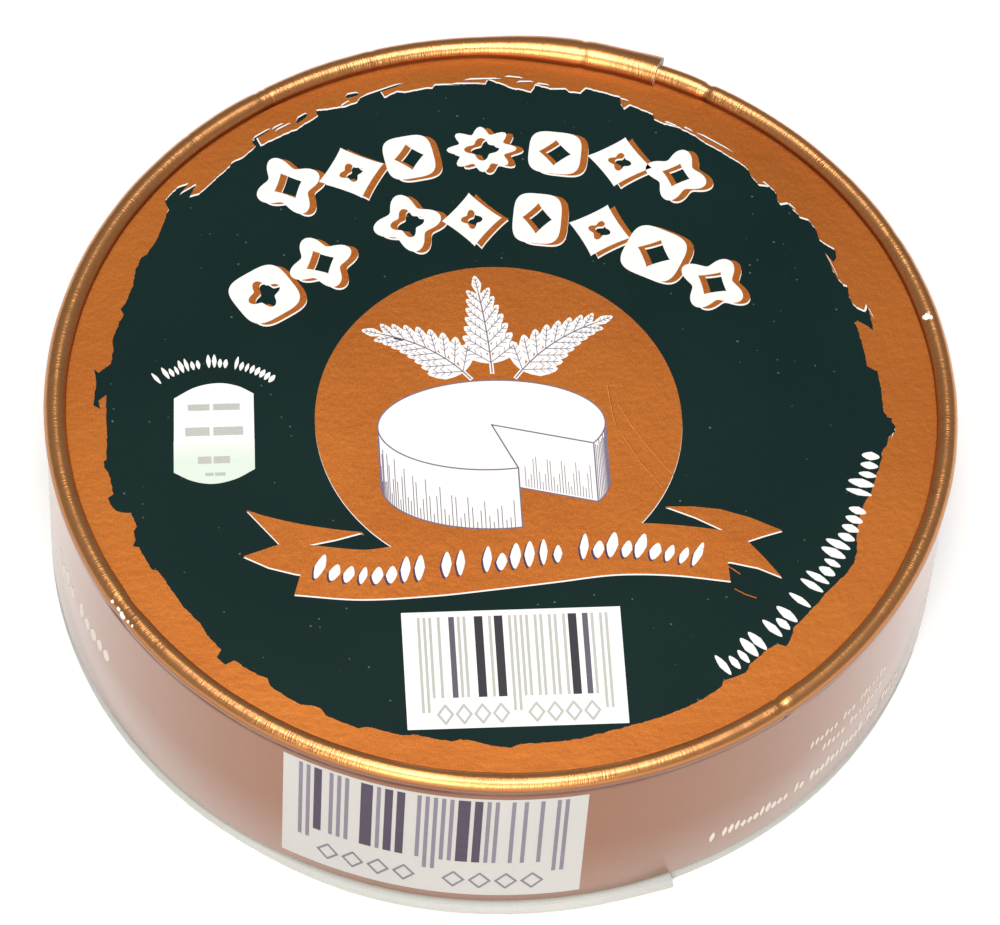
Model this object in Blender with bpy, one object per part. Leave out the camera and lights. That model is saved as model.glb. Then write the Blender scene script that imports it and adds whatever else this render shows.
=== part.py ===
# A shut round card box for a small soft cheese, modelled in metres with +Z up.
# A wound card lid, rolled over at its top edge, is pushed down over a wound card base that is rolled at its foot.
# Each strip of card overlaps itself, so each band has one step where its outer layer ends, and is a little oval.
# The origin is on the table under the middle of the box, and the print on the lid reads upright towards +Y.

import math

import bmesh
import bpy

MM = 0.001

# Driving dimensions of the whole box, away from the seams
OUTER_RADIUS = 54.0 * MM
HEIGHT = 31.5 * MM
OVALITY = 0.0127
LONG_AXIS_AZIMUTH = math.radians(4.0)

# The card and the clearance between its pieces
WALL = 1.1 * MM
LAYER = 0.5 * MM
GAP = 0.35 * MM

# The rolled edges, called beads
BEAD_WIDTH = 2.55 * MM
BEAD_HEIGHT = 2.6 * MM
BEAD_STEPS = 12
BEAD_INSET = 1.7 * MM
NECK_DEPTH = 0.15 * MM
NECK_SPAN = 0.8 * MM

# The lid: a skirt with its bead, and a flat disc set in under the bead
SKIRT_RADIUS = OUTER_RADIUS - 0.1 * MM
SKIRT_FOOT = 3.2 * MM
EDGE_ROUND = 0.2 * MM
LID_INNER_RADIUS = SKIRT_RADIUS - WALL
DISC_TOP = HEIGHT - BEAD_INSET
DISC_THICKNESS = 1.0 * MM
DISC_RADIUS = LID_INNER_RADIUS - GAP

# The base: its wall inside the skirt, the bead that it stands on, and the packed inside as one solid
BASE_RADIUS = LID_INNER_RADIUS - GAP
BASE_TOP = DISC_TOP - DISC_THICKNESS - GAP
BASE_BEAD_RADIUS = SKIRT_RADIUS
BASE_BEAD_TOP = SKIRT_FOOT - GAP
FOOT_WIDTH = 1.4 * MM

# Where each strip of card ends, and how its outer layer lies there
LID_SEAM = math.radians(65.0)
LID_LAP = math.radians(11.0)
LID_LAP_FADE = math.radians(16.0)
BASE_SEAM = math.radians(-70.0)
BASE_LAP = math.radians(36.0)
BASE_LAP_FADE = math.radians(24.0)
LIFT = 0.3 * MM
LIFT_SPAN = math.radians(5.0)
SPIRAL = 0.35 * MM
CUT_WIDTH = math.radians(0.1)
SEGMENTS = 120

# Directions in which a point of a profile gives way to the outer layer, as radius and height
HELD = (0.0, 0.0)
OUTWARD = (1.0, 0.0)


def smooth_step(x):
    """Rise smoothly from 0 to 1 while x goes from 0 to 1."""
    x = min(max(x, 0.0), 1.0)
    return x * x * (3.0 - 2.0 * x)


def oval(azimuth):
    """Factor on every radius in this direction, because the box isn't quite round."""
    return 1.0 + OVALITY * math.cos(2.0 * (azimuth - LONG_AXIS_AZIMUTH))


def layer_cover(turn, lap, fade):
    """Thickness of the outer layer over the inner one, at an angle from the strip's cut end."""
    return LAYER * (1.0 - smooth_step((turn - lap) / fade))


def layer_stray(turn):
    """How far the band lies outside a true oval: it winds inwards, and its cut end springs out."""
    lifted = LIFT * (1.0 - smooth_step(turn / LIFT_SPAN))
    spiral = SPIRAL * (0.5 - turn / (2.0 * math.pi))
    return lifted + spiral


def bead_points(outer_radius, far_height, first_angle, last_angle, upright):
    """Points round a bead whose far side is at far_height, above the wall or, upside down, below it."""
    sign = 1.0 if upright else -1.0
    centre_radius = outer_radius - 0.5 * BEAD_WIDTH
    centre_height = far_height - sign * 0.5 * BEAD_HEIGHT
    points = []
    for step in range(BEAD_STEPS):
        angle = math.radians(first_angle + (last_angle - first_angle) * step / (BEAD_STEPS - 1))
        out = math.cos(angle)
        up = math.sin(angle) * sign
        place = (centre_radius + 0.5 * BEAD_WIDTH * out, centre_height + 0.5 * BEAD_HEIGHT * up)
        points.append((place, (out, up)))
    return points


def lid_profile():
    """Closed section of the lid's band, up its outer side, over the bead and down its inner side."""
    bead = bead_points(OUTER_RADIUS, HEIGHT, -38.0, 183.0, True)
    neck_height = bead[0][0][1] - 0.35 * NECK_SPAN
    under_bead = DISC_TOP + GAP
    outside = [
        ((SKIRT_RADIUS - EDGE_ROUND, SKIRT_FOOT), OUTWARD),
        ((SKIRT_RADIUS, SKIRT_FOOT + EDGE_ROUND), OUTWARD),
        ((SKIRT_RADIUS, neck_height - NECK_SPAN), OUTWARD),
        ((SKIRT_RADIUS - NECK_DEPTH, neck_height), OUTWARD),
    ]
    inside = [
        ((LID_INNER_RADIUS, under_bead), HELD),
        ((LID_INNER_RADIUS, SKIRT_FOOT), HELD),
    ]
    return outside + bead + inside


def base_profile():
    """Section of the base from its bottom panel out round the bead and up the wall to its top."""
    bead = bead_points(BASE_BEAD_RADIUS, 0.0, 180.0, -40.0, False)
    foot_radius = BASE_BEAD_RADIUS - 0.5 * BEAD_WIDTH
    points = []
    for place, direction in bead:
        pressed_flat = abs(place[0] - foot_radius) < 0.5 * FOOT_WIDTH
        height = 0.0 if pressed_flat else place[1]
        points.append(((place[0], height), (max(direction[0], 0.0), 0.0)))
    panel = ((points[0][0][0], BEAD_INSET), HELD)
    wall_foot = ((BASE_RADIUS, BASE_BEAD_TOP), HELD)
    wall_shoulder = ((BASE_RADIUS, BASE_TOP - EDGE_ROUND), HELD)
    wall_top = ((BASE_RADIUS - EDGE_ROUND, BASE_TOP), HELD)
    return [panel] + points + [wall_foot, wall_shoulder, wall_top]


def place_on_ring(point, direction, turn, seam, winding, lap, fade):
    """A point of the profile at one angle round the box, with the outer layer laid on it."""
    cover = layer_cover(turn, lap, fade)
    stray = layer_stray(turn) * max(direction[0], 0.0)
    azimuth = seam + winding * turn
    radius = (point[0] + cover * direction[0] + stray) * oval(azimuth)
    height = point[1] + cover * direction[1]
    return (radius * math.cos(azimuth), radius * math.sin(azimuth), height)


def wound_band(profile, closed, seam, winding, lap, fade):
    """Carry a profile round the box from one side of the seam to the other, and join the cut."""
    bm = bmesh.new()
    rings = []
    for step in range(SEGMENTS + 1):
        turn = (2.0 * math.pi - CUT_WIDTH) * step / SEGMENTS
        ring = []
        for point, direction in profile:
            ring.append(bm.verts.new(place_on_ring(point, direction, turn, seam, winding, lap, fade)))
        rings.append(ring)
    count = len(profile)
    spans = count if closed else count - 1
    for index, ring in enumerate(rings):
        following = rings[(index + 1) % len(rings)]
        for a in range(spans):
            b = (a + 1) % count
            bm.faces.new((ring[a], ring[b], following[b], following[a]))
    if not closed:
        bm.faces.new([ring[0] for ring in rings])
        bm.faces.new([ring[-1] for ring in rings])
    bmesh.ops.recalc_face_normals(bm, faces=bm.faces)
    return bm


def oval_disc():
    """The lid's flat printed disc, oval like the band that holds it."""
    bm = bmesh.new()
    bmesh.ops.create_circle(bm, cap_ends=True, segments=SEGMENTS, radius=DISC_RADIUS)
    for vert in bm.verts:
        factor = oval(math.atan2(vert.co.y, vert.co.x))
        vert.co = (vert.co.x * factor, vert.co.y * factor, DISC_TOP - DISC_THICKNESS)
    grown = bmesh.ops.extrude_face_region(bm, geom=bm.faces[:])
    lifted = [item for item in grown["geom"] if isinstance(item, bmesh.types.BMVert)]
    bmesh.ops.translate(bm, verts=lifted, vec=(0.0, 0.0, DISC_THICKNESS))
    bmesh.ops.recalc_face_normals(bm, faces=bm.faces)
    return bm


def card_material(name, colour, roughness, metallic):
    """A plain Principled material."""
    material = bpy.data.materials.new(name)
    material.use_nodes = True
    shader = material.node_tree.nodes["Principled BSDF"]
    shader.inputs["Base Color"].default_value = (*colour, 1.0)
    shader.inputs["Roughness"].default_value = roughness
    shader.inputs["Metallic"].default_value = metallic
    material.diffuse_color = (*colour, 1.0)
    return material


def add_piece(name, bm, material):
    """Make an object of a finished mesh, shaded smooth except at its sharp edges."""
    mesh = bpy.data.meshes.new(name)
    bm.to_mesh(mesh)
    bm.free()
    mesh.shade_smooth()
    mesh.set_sharp_from_angle(angle=math.radians(40.0))
    mesh.materials.append(material)
    piece = bpy.data.objects.new(name, mesh)
    bpy.context.scene.collection.objects.link(piece)
    return piece


def build_box():
    """Build the three pieces of the shut box."""
    band_ink = card_material("copper_band", (0.50, 0.24, 0.11), 0.32, 0.6)
    disc_ink = card_material("copper_disc", (0.56, 0.21, 0.05), 0.40, 0.5)
    white_card = card_material("white_card", (0.78, 0.77, 0.76), 0.60, 0.0)

    lid_band = wound_band(lid_profile(), True, LID_SEAM, 1.0, LID_LAP, LID_LAP_FADE)
    add_piece("lid_band", lid_band, band_ink)
    add_piece("lid_disc", oval_disc(), disc_ink)
    base = wound_band(base_profile(), False, BASE_SEAM, -1.0, BASE_LAP, BASE_LAP_FADE)
    add_piece("base", base, white_card)


def main():
    for old in list(bpy.data.objects):
        bpy.data.objects.remove(old, do_unlink=True)
    build_box()


main()
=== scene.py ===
# %% [markdown]
# # A shut round card box for a small soft cheese
# The real box is thin card, wound into rings and pressed together without any glue in sight. Its lid is
# printed in copper and dark green ink, and its base is left white. The solids come finished from the CAD
# model. This lesson keeps the plain ones, remakes the lid's ring finely enough to be seen close up, and then
# lays the print on the lid, one film of ink at a time.

# %% Load the solids
import math
import random

import bmesh
import bpy
from mathutils import Matrix, Quaternion, Vector, noise


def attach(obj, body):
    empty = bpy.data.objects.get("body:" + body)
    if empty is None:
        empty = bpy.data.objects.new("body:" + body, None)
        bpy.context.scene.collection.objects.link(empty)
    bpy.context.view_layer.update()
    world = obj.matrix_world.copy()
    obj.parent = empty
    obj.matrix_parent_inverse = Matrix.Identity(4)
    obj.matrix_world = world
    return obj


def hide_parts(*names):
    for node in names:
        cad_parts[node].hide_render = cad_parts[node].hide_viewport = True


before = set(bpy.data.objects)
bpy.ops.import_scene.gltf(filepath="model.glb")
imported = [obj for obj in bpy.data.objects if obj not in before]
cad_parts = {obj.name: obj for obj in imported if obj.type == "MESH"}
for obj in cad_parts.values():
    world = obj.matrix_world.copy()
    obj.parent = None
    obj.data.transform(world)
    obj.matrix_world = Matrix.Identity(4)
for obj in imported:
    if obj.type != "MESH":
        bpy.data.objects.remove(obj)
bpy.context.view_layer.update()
scene = bpy.context.scene
print("solids:", sorted(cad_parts))

# %% [markdown]
# The lengths below are the CAD model's own, in metres like everything in Blender, so they are written as
# millimetres times MM. The two strips of card overlap themselves, so a ring isn't quite round: it is a
# little oval, it winds inwards like a watch spring, and it is one layer thicker just after the place where
# it ends.

# %% The box's measures
MM = 0.001
OUTER_RADIUS = 54.0 * MM
HEIGHT = 31.5 * MM
OVALITY = 0.0127
LONG_AXIS_AZIMUTH = math.radians(4.0)
WALL = 1.1 * MM
LAYER = 0.5 * MM
BEAD_WIDTH = 2.55 * MM
BEAD_HEIGHT = 2.6 * MM
BEAD_RADIUS = OUTER_RADIUS - 0.5 * BEAD_WIDTH
BEAD_MIDDLE = HEIGHT - 0.5 * BEAD_HEIGHT
NECK_DEPTH = 0.15 * MM
NECK_SPAN = 0.8 * MM
SKIRT_TOP = 28.3 * MM
SKIRT_RADIUS = OUTER_RADIUS - 0.1 * MM
SKIRT_FOOT = 3.2 * MM
EDGE_ROUND = 0.2 * MM
LID_INNER_RADIUS = SKIRT_RADIUS - WALL
DISC_TOP = HEIGHT - 1.7 * MM
LID_SEAM = math.radians(65.0)
LID_LAP = math.radians(11.0)
LID_LAP_FADE = math.radians(16.0)
LIFT = 0.3 * MM
LIFT_SPAN = math.radians(5.0)
SPIRAL = 0.35 * MM
CUT_WIDTH = math.radians(0.1)


def smooth_step(x):
    """Rise smoothly from 0 to 1 while x goes from 0 to 1."""
    x = min(max(x, 0.0), 1.0)
    return x * x * (3.0 - 2.0 * x)


def oval(azimuth):
    """Factor on every radius in this direction."""
    return 1.0 + OVALITY * math.cos(2.0 * (azimuth - LONG_AXIS_AZIMUTH))


def outer_layer(turn):
    """Thickness of the strip's end where it lies over its own start, at an angle from the cut."""
    return LAYER * (1.0 - smooth_step((turn - LID_LAP) / LID_LAP_FADE))


def outward_stray(turn):
    """How far the ring lies outside a true oval there: it winds inwards, and its cut end springs out."""
    lifted = LIFT * (1.0 - smooth_step(turn / LIFT_SPAN))
    return lifted + SPIRAL * (0.5 - turn / math.tau)


# %% [markdown]
# The photograph looks steeply down at the lid from its front, through a long lens that hardly narrows the
# far side. The camera's place was worked out from the ovals that the rim, the printed circle and the foot
# make in the picture. Turning a camera about its own line of sight is done last, so that the other angles
# stay simple.

# %% The camera
AIM = Vector((-0.81, -8.48, 29.8)) * MM
DISTANCE = 643.54 * MM
ELEVATION = math.radians(58.07)
LEFT_OF_FRONT = math.radians(7.05)
ROLL = math.radians(4.31)

camera_data = bpy.data.cameras.new("long_lens")
camera_data.lens = 195.06
camera_data.sensor_width = 36.0
camera_data.clip_start = 0.01
camera_data.clip_end = 20.0
camera = bpy.data.objects.new("camera", camera_data)
scene.collection.objects.link(camera)
towards_camera = Vector((
    -math.sin(LEFT_OF_FRONT) * math.cos(ELEVATION),
    -math.cos(LEFT_OF_FRONT) * math.cos(ELEVATION),
    math.sin(ELEVATION),
))
camera.location = AIM + towards_camera * DISTANCE
camera.rotation_mode = "QUATERNION"
level_turn = (-towards_camera).to_track_quat("-Z", "Y")
camera.rotation_quaternion = level_turn @ Quaternion((0.0, 0.0, 1.0), ROLL)
scene.camera = camera
print("camera at", [round(value, 3) for value in camera.location])

# %% [markdown]
# Copper ink shows its shape only if bright and dim things are mirrored in it. So one strong soft lamp hangs
# high up in front, where the flat lid doesn't mirror it. Two weak yellowish ones are added for the rolled
# edge, which mirrors them as its bright lines: one stands low in front, and the other hangs almost overhead.
# The room stays dim. The table is white and glows a little, enough to wash out to pure white as in the
# photograph. It lies a hair below the box, so that no two faces share a plane.

# %% The table, the lamps and the room
TABLE_HALF = 4.0
ROOM_LIGHT = 0.14
TABLE_GLOW = 0.28
LAMPS = (
    # name, distance in metres, elevation and azimuth in degrees, size in metres, watts and colour
    ("high_lamp", 2.00, 73.0, -97.0, 1.10, 31.0, (1.00, 0.99, 1.05)),
    ("back_lamp", 0.55, 79.0, 96.0, 0.18, 0.53, (1.00, 0.95, 0.78)),
    ("front_lamp", 0.60, 25.0, -100.0, 0.34, 2.40, (1.00, 0.94, 0.74)),
)


def add_lamp(name, distance, elevation_degrees, azimuth_degrees, size, watts, colour):
    """Hang a square soft lamp in the given direction from the box, facing it."""
    data = bpy.data.lights.new(name, "AREA")
    data.energy = watts
    data.color = colour
    data.size = size
    lamp = bpy.data.objects.new(name, data)
    scene.collection.objects.link(lamp)
    elevation = math.radians(elevation_degrees)
    azimuth = math.radians(azimuth_degrees)
    away = Vector((
        math.cos(azimuth) * math.cos(elevation),
        math.sin(azimuth) * math.cos(elevation),
        math.sin(elevation),
    ))
    lamp.location = AIM + away * distance
    lamp.rotation_mode = "QUATERNION"
    lamp.rotation_quaternion = (-away).to_track_quat("-Z", "Y")


for lamp_values in LAMPS:
    add_lamp(*lamp_values)

room = bpy.data.worlds.new("dim_room")
room.use_nodes = True
room.node_tree.nodes["Background"].inputs["Color"].default_value = (1.0, 1.0, 1.0, 1.0)
room.node_tree.nodes["Background"].inputs["Strength"].default_value = ROOM_LIGHT
scene.world = room
scene.view_settings.view_transform = "Standard"

table_mesh = bpy.data.meshes.new("table_top")
bm = bmesh.new()
bmesh.ops.create_grid(bm, x_segments=1, y_segments=1, size=TABLE_HALF)
bmesh.ops.translate(bm, verts=bm.verts, vec=(0.0, 0.0, -0.01 * MM))
bm.to_mesh(table_mesh)
bm.free()
table = bpy.data.objects.new("table_top", table_mesh)
scene.collection.objects.link(table)
print("table", 2 * TABLE_HALF, "m across, with", len(LAMPS), "lamps")

# %% [markdown]
# Every finish here is printed or bare card, so a few effects come back in many materials: the tiny
# unevenness of card under ink, the glitter of metal flakes, faint streaks along the card's grain, and dust.
# Each of these is a node group that is made once. It reads the object's own coordinates, which stay fixed to
# the box when the camera moves. Its outputs are plain values, which each material turns into colour,
# roughness or bump.

# %% Helpers for node groups
CARD_GRAIN_ANGLE = math.radians(-4.0)


def start_group(name, inputs, outputs):
    """A new node group with float inputs (name, value), float outputs and the object's coordinates in it."""
    group = bpy.data.node_groups.new(name, "ShaderNodeTree")
    for label, value in inputs:
        socket = group.interface.new_socket(name=label, in_out="INPUT", socket_type="NodeSocketFloat")
        socket.default_value = value
    for label in outputs:
        group.interface.new_socket(name=label, in_out="OUTPUT", socket_type="NodeSocketFloat")
    nodes = group.nodes
    return group, nodes.new("NodeGroupInput"), nodes.new("NodeGroupOutput"), nodes.new("ShaderNodeTexCoord")


def noise_node(group, vector, scale, detail, roughness=0.5):
    """A noise texture that reads this vector."""
    texture = group.nodes.new("ShaderNodeTexNoise")
    texture.inputs["Detail"].default_value = detail
    texture.inputs["Roughness"].default_value = roughness
    if isinstance(scale, float):
        texture.inputs["Scale"].default_value = scale
    else:
        group.links.new(scale, texture.inputs["Scale"])
    group.links.new(vector, texture.inputs["Vector"])
    return texture.outputs["Fac"]


def math_node(group, operation, *values):
    """A maths node whose inputs are numbers or other nodes' outputs."""
    node = group.nodes.new("ShaderNodeMath")
    node.operation = operation
    for socket, value in zip(node.inputs, values):
        if isinstance(value, (int, float)):
            socket.default_value = value
        else:
            group.links.new(value, socket)
    return node.outputs[0]


def vector_node(group, operation, *values):
    """A vector maths node whose inputs are tuples or other nodes' outputs."""
    node = group.nodes.new("ShaderNodeVectorMath")
    node.operation = operation
    for socket, value in zip(node.inputs, values):
        if isinstance(value, tuple):
            socket.default_value = value
        else:
            group.links.new(value, socket)
    return node


def range_node(group, value, low, high, to_low=0.0, to_high=1.0):
    """Stretch a value from one range to another and keep it inside."""
    node = group.nodes.new("ShaderNodeMapRange")
    group.links.new(value, node.inputs["Value"])
    ends = (("From Min", low), ("From Max", high), ("To Min", to_low), ("To Max", to_high))
    for label, number in ends:
        node.inputs[label].default_value = number
    return node.outputs["Result"]


# %% Card surface: tooth, flakes and grain streaks
def make_card_surface():
    """Height of the card under the ink, the glitter of its metal flakes, and streaks along its grain."""
    outputs = ("Height", "Flakes", "Streaks", "Cloud")
    group, given, result, place = start_group("card_surface", (("Tooth Scale", 1400.0),), outputs)
    tooth = noise_node(group, place.outputs["Object"], given.outputs["Tooth Scale"], 3.0)
    peel = noise_node(group, place.outputs["Object"], 420.0, 2.0)
    height = math_node(group, "ADD", tooth, math_node(group, "MULTIPLY", peel, 1.4))
    group.links.new(height, result.inputs["Height"])
    flakes = noise_node(group, place.outputs["Object"], 5200.0, 1.0)
    group.links.new(range_node(group, flakes, 0.35, 0.75), result.inputs["Flakes"])
    along = group.nodes.new("ShaderNodeMapping")
    along.inputs["Rotation"].default_value = (0.0, 0.0, -CARD_GRAIN_ANGLE)
    along.inputs["Scale"].default_value = (170.0, 1500.0, 1500.0)
    group.links.new(place.outputs["Object"], along.inputs["Vector"])
    streaks = noise_node(group, along.outputs["Vector"], 1.0, 3.0, 0.6)
    group.links.new(range_node(group, streaks, 0.3, 0.7), result.inputs["Streaks"])
    cloud = noise_node(group, place.outputs["Object"], 38.0, 2.0)
    group.links.new(range_node(group, cloud, 0.3, 0.7), result.inputs["Cloud"])
    return group


card_surface = make_card_surface()
print("group", card_surface.name, "gives", [item.name for item in card_surface.interface.items_tree])

# %% [markdown]
# Dust is a scatter of pale specks, each far smaller than a grain of sand. A Voronoi texture gives one centre
# per cell, and keeping only the cells with a high random value leaves a few specks and much clean surface.

# %% Dust specks
def make_dust():
    """A mask that is 1 on small scattered specks."""
    group, given, result, place = start_group("dust", (("Scale", 900.0), ("Amount", 0.12)), ("Mask",))
    cells = group.nodes.new("ShaderNodeTexVoronoi")
    group.links.new(place.outputs["Object"], cells.inputs["Vector"])
    group.links.new(given.outputs["Scale"], cells.inputs["Scale"])
    tint = group.nodes.new("ShaderNodeSeparateColor")
    group.links.new(cells.outputs["Color"], tint.inputs["Color"])
    chosen = math_node(group, "LESS_THAN", tint.outputs[0], given.outputs["Amount"])
    size = range_node(group, tint.outputs[1], 0.0, 1.0, 0.04, 0.13)
    near = math_node(group, "LESS_THAN", cells.outputs["Distance"], size)
    group.links.new(math_node(group, "MULTIPLY", chosen, near), result.inputs["Mask"])
    return group


dust = make_dust()
print("group", dust.name)

# %% [markdown]
# The rolled edge is card bent tighter than it likes, so it has fine wrinkles across it. A pattern that
# changes along the ring but hardly across it needs coordinates that run round the box. Scaling the direction
# from the box's axis gives them without any seam, where an angle would jump at the back.

# %% Wrinkles across the rolled edge
def make_ring_wrinkles():
    """Fine wrinkles that run across a ring, the same all the way round."""
    group, given, result, place = start_group("ring_wrinkles", (("Lines", 260.0),), ("Wrinkles", "Patches"))
    flat = vector_node(group, "MULTIPLY", place.outputs["Object"], (1.0, 1.0, 0.0))
    around = vector_node(group, "NORMALIZE", flat.outputs["Vector"])
    around_vector = around.outputs["Vector"]
    raised = vector_node(group, "MULTIPLY_ADD", place.outputs["Object"], (3.0, 3.0, 3.0), around_vector)
    lines = noise_node(group, raised.outputs["Vector"], given.outputs["Lines"], 2.0)
    group.links.new(range_node(group, lines, 0.35, 0.65), result.inputs["Wrinkles"])
    patches = noise_node(group, around_vector, 6.0, 2.0)
    group.links.new(range_node(group, patches, 0.4, 0.65), result.inputs["Patches"])
    return group


ring_wrinkles = make_ring_wrinkles()
print("group", ring_wrinkles.name)

# %% [markdown]
# On the rolled edge the painted highlight and the painted shade depend on how far round the roll a point
# lies. That angle comes from two lengths: how far out the point is from the roll's middle, and how far up.
# The box is oval, so its radius is first divided by the oval's factor there.

# %% How far round the rolled edge a point lies
def make_bead_turn():
    """Angle round the roll in radians: zero at its outermost line, a quarter turn at its top."""
    group, given, result, place = start_group("bead_turn", (), ("Turn",))
    turned = group.nodes.new("ShaderNodeMapping")
    turned.inputs["Rotation"].default_value = (0.0, 0.0, -LONG_AXIS_AZIMUTH)
    group.links.new(place.outputs["Object"], turned.inputs["Vector"])
    parts = group.nodes.new("ShaderNodeSeparateXYZ")
    group.links.new(turned.outputs["Vector"], parts.inputs["Vector"])
    long_part = math_node(group, "MULTIPLY", parts.outputs["X"], parts.outputs["X"])
    short_part = math_node(group, "MULTIPLY", parts.outputs["Y"], parts.outputs["Y"])
    both = math_node(group, "ADD", long_part, short_part)
    wave = math_node(group, "DIVIDE", math_node(group, "SUBTRACT", long_part, short_part), both)
    factor = math_node(group, "MULTIPLY_ADD", wave, OVALITY, 1.0)
    radius = math_node(group, "DIVIDE", math_node(group, "SQRT", both), factor)
    out = math_node(group, "SUBTRACT", radius, BEAD_RADIUS)
    up = math_node(group, "SUBTRACT", parts.outputs["Z"], BEAD_MIDDLE)
    group.links.new(math_node(group, "ARCTAN2", up, out), result.inputs["Turn"])
    return group


bead_turn = make_bead_turn()
print("group", bead_turn.name)

# %% [markdown]
# Where the ink has chipped, white card shows. A chip is a small patch round a named point, and its edge is
# made ragged by adding noise to the distance from that point.

# %% A chip in the ink
def make_chip():
    """A mask that is 1 inside a ragged patch round a point given in millimetres."""
    inputs = (("X", 0.0), ("Y", 0.0), ("Z", 31.0), ("Size", 0.6), ("Ragged", 0.7))
    group, given, result, place = start_group("chip", inputs, ("Mask",))
    centre = group.nodes.new("ShaderNodeCombineXYZ")
    for axis in "XYZ":
        group.links.new(given.outputs[axis], centre.inputs[axis])
    scaled = vector_node(group, "MULTIPLY", place.outputs["Object"], (1.0 / MM, 1.0 / MM, 1.0 / MM))
    gap = vector_node(group, "DISTANCE", scaled.outputs["Vector"], centre.outputs["Vector"])
    rough = noise_node(group, place.outputs["Object"], 1800.0, 2.0)
    wobble = math_node(group, "MULTIPLY", math_node(group, "SUBTRACT", rough, 0.5), given.outputs["Ragged"])
    reach = math_node(group, "ADD", gap.outputs["Value"], math_node(group, "MULTIPLY", wobble, 2.0))
    group.links.new(math_node(group, "LESS_THAN", reach, given.outputs["Size"]), result.inputs["Mask"])
    return group


chip = make_chip()
print("group", chip.name)

# %% [markdown]
# Next come helpers for the materials themselves. The shader and its fixed numbers stay in each material, and
# only what changes over the surface comes through a link.

# %% Helpers for materials
def start_material(name, roughness, metallic=0.0, coat=0.0, coat_roughness=0.2, specular=0.5):
    """A material with its shader's fixed numbers set."""
    material = bpy.data.materials.new(name)
    material.use_nodes = True
    shader = material.node_tree.nodes["Principled BSDF"]
    shader.inputs["Roughness"].default_value = roughness
    shader.inputs["Metallic"].default_value = metallic
    shader.inputs["Coat Weight"].default_value = coat
    shader.inputs["Coat Roughness"].default_value = coat_roughness
    shader.inputs["Specular IOR Level"].default_value = specular
    return material, material.node_tree, shader


def use_group(tree, group, **values):
    """Place a node group in a material with its own values."""
    node = tree.nodes.new("ShaderNodeGroup")
    node.node_tree = group
    for label, value in values.items():
        node.inputs[label.replace("_", " ")].default_value = value
    return node


def blend_colours(tree, factor, first, second):
    """Blend two colours, each a tuple or another node's output, by a factor."""
    node = tree.nodes.new("ShaderNodeMix")
    node.data_type = "RGBA"
    tree.links.new(factor, node.inputs[0])
    for socket, colour in ((node.inputs[6], first), (node.inputs[7], second)):
        if isinstance(colour, tuple):
            socket.default_value = (*colour, 1.0)
        else:
            tree.links.new(colour, socket)
    return node.outputs[2]


def add_bump(tree, shader, height, strength, distance):
    """Let a height tilt the surface's normal. A bump already there is kept and added to."""
    bump = tree.nodes.new("ShaderNodeBump")
    bump.inputs["Strength"].default_value = strength
    bump.inputs["Distance"].default_value = distance
    tree.links.new(height, bump.inputs["Height"])
    if shader.inputs["Normal"].is_linked:
        tree.links.new(shader.inputs["Normal"].links[0].from_socket, bump.inputs["Normal"])
    tree.links.new(bump.outputs["Normal"], shader.inputs["Normal"])


# %% [markdown]
# Copper ink isn't a sheet of metal. It is a varnish full of tiny copper flakes, which lie nearly flat but
# not quite, so it glows softly over a wide angle and glitters very finely. Over it lies a thin clear gloss.
# Metallic is therefore high, roughness is high too, and the gloss is a separate coat.

# %% Copper ink
COPPER_DEEP = (0.58, 0.165, 0.030)
COPPER_BRIGHT = (0.78, 0.26, 0.048)
# The ring's two tones are a darker copy of the disc's copper: painted shade on the upright ring.
SHADED_RING_DEEP = (0.210, 0.064, 0.013)
SHADED_RING_BRIGHT = (0.255, 0.084, 0.019)
# A brighter, yellower copper for the roll's crown: a painted highlight.
BEAD_HIGHLIGHT = (0.84, 0.385, 0.145)
# A dark brown for the roll's underside and its inner side: painted shade.
BEAD_SHADE_BROWN = (0.10, 0.028, 0.018)
CARD_IN_CHIPS = (0.92, 0.90, 0.86)


def make_copper(name, tooth_strength, deep, bright, roughness, coat, coat_roughness):
    """Copper ink on card, brighter along the card's grain streaks."""
    material, tree, shader = start_material(name, roughness, 0.9, coat, coat_roughness)
    surface = use_group(tree, card_surface)
    mottle = math_node(tree, "MULTIPLY_ADD", surface.outputs["Streaks"], 0.35, surface.outputs["Flakes"])
    mottle = math_node(tree, "MULTIPLY_ADD", surface.outputs["Cloud"], 0.6, mottle)
    share = range_node(tree, mottle, 0.3, 1.7)
    tree.links.new(blend_colours(tree, share, deep, bright), shader.inputs["Base Color"])
    patchy = range_node(tree, surface.outputs["Streaks"], 0.0, 1.0, roughness + 0.02, roughness - 0.02)
    tree.links.new(patchy, shader.inputs["Roughness"])
    add_bump(tree, shader, surface.outputs["Height"], tooth_strength, 0.05 * MM)
    return material, tree, shader


copper_disc = make_copper("copper_disc_ink", 0.5, COPPER_DEEP, COPPER_BRIGHT, 0.46, 0.15, 0.30)[0]
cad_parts["lid_disc"].data.materials.clear()
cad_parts["lid_disc"].data.materials.append(copper_disc)
print("material", copper_disc.name)

# %% [markdown]
# The ring is printed with the same ink, but there it is bent, and its copper is painted much darker than the
# disc's: painted shade on the upright ring. The wrinkles of the rolled edge come in only above the neck, and
# a few chips show the white card. The skirt below is smoother and mirrors the table.

# %% Copper ink on the ring
CHIPS = (
    # azimuth in degrees, radius, height and size in millimetres
    (10.4, 52.75, 31.35, 0.50),
    (-150.5, 54.25, 30.95, 0.26),
    (-149.2, 54.15, 31.0, 0.30),
    (-148.3, 54.20, 30.9, 0.38),
    (-147.0, 54.05, 31.05, 0.22),
    (-146.2, 54.05, 31.1, 0.16),
    (-56.0, 51.9, 30.9, 0.24),
)


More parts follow.
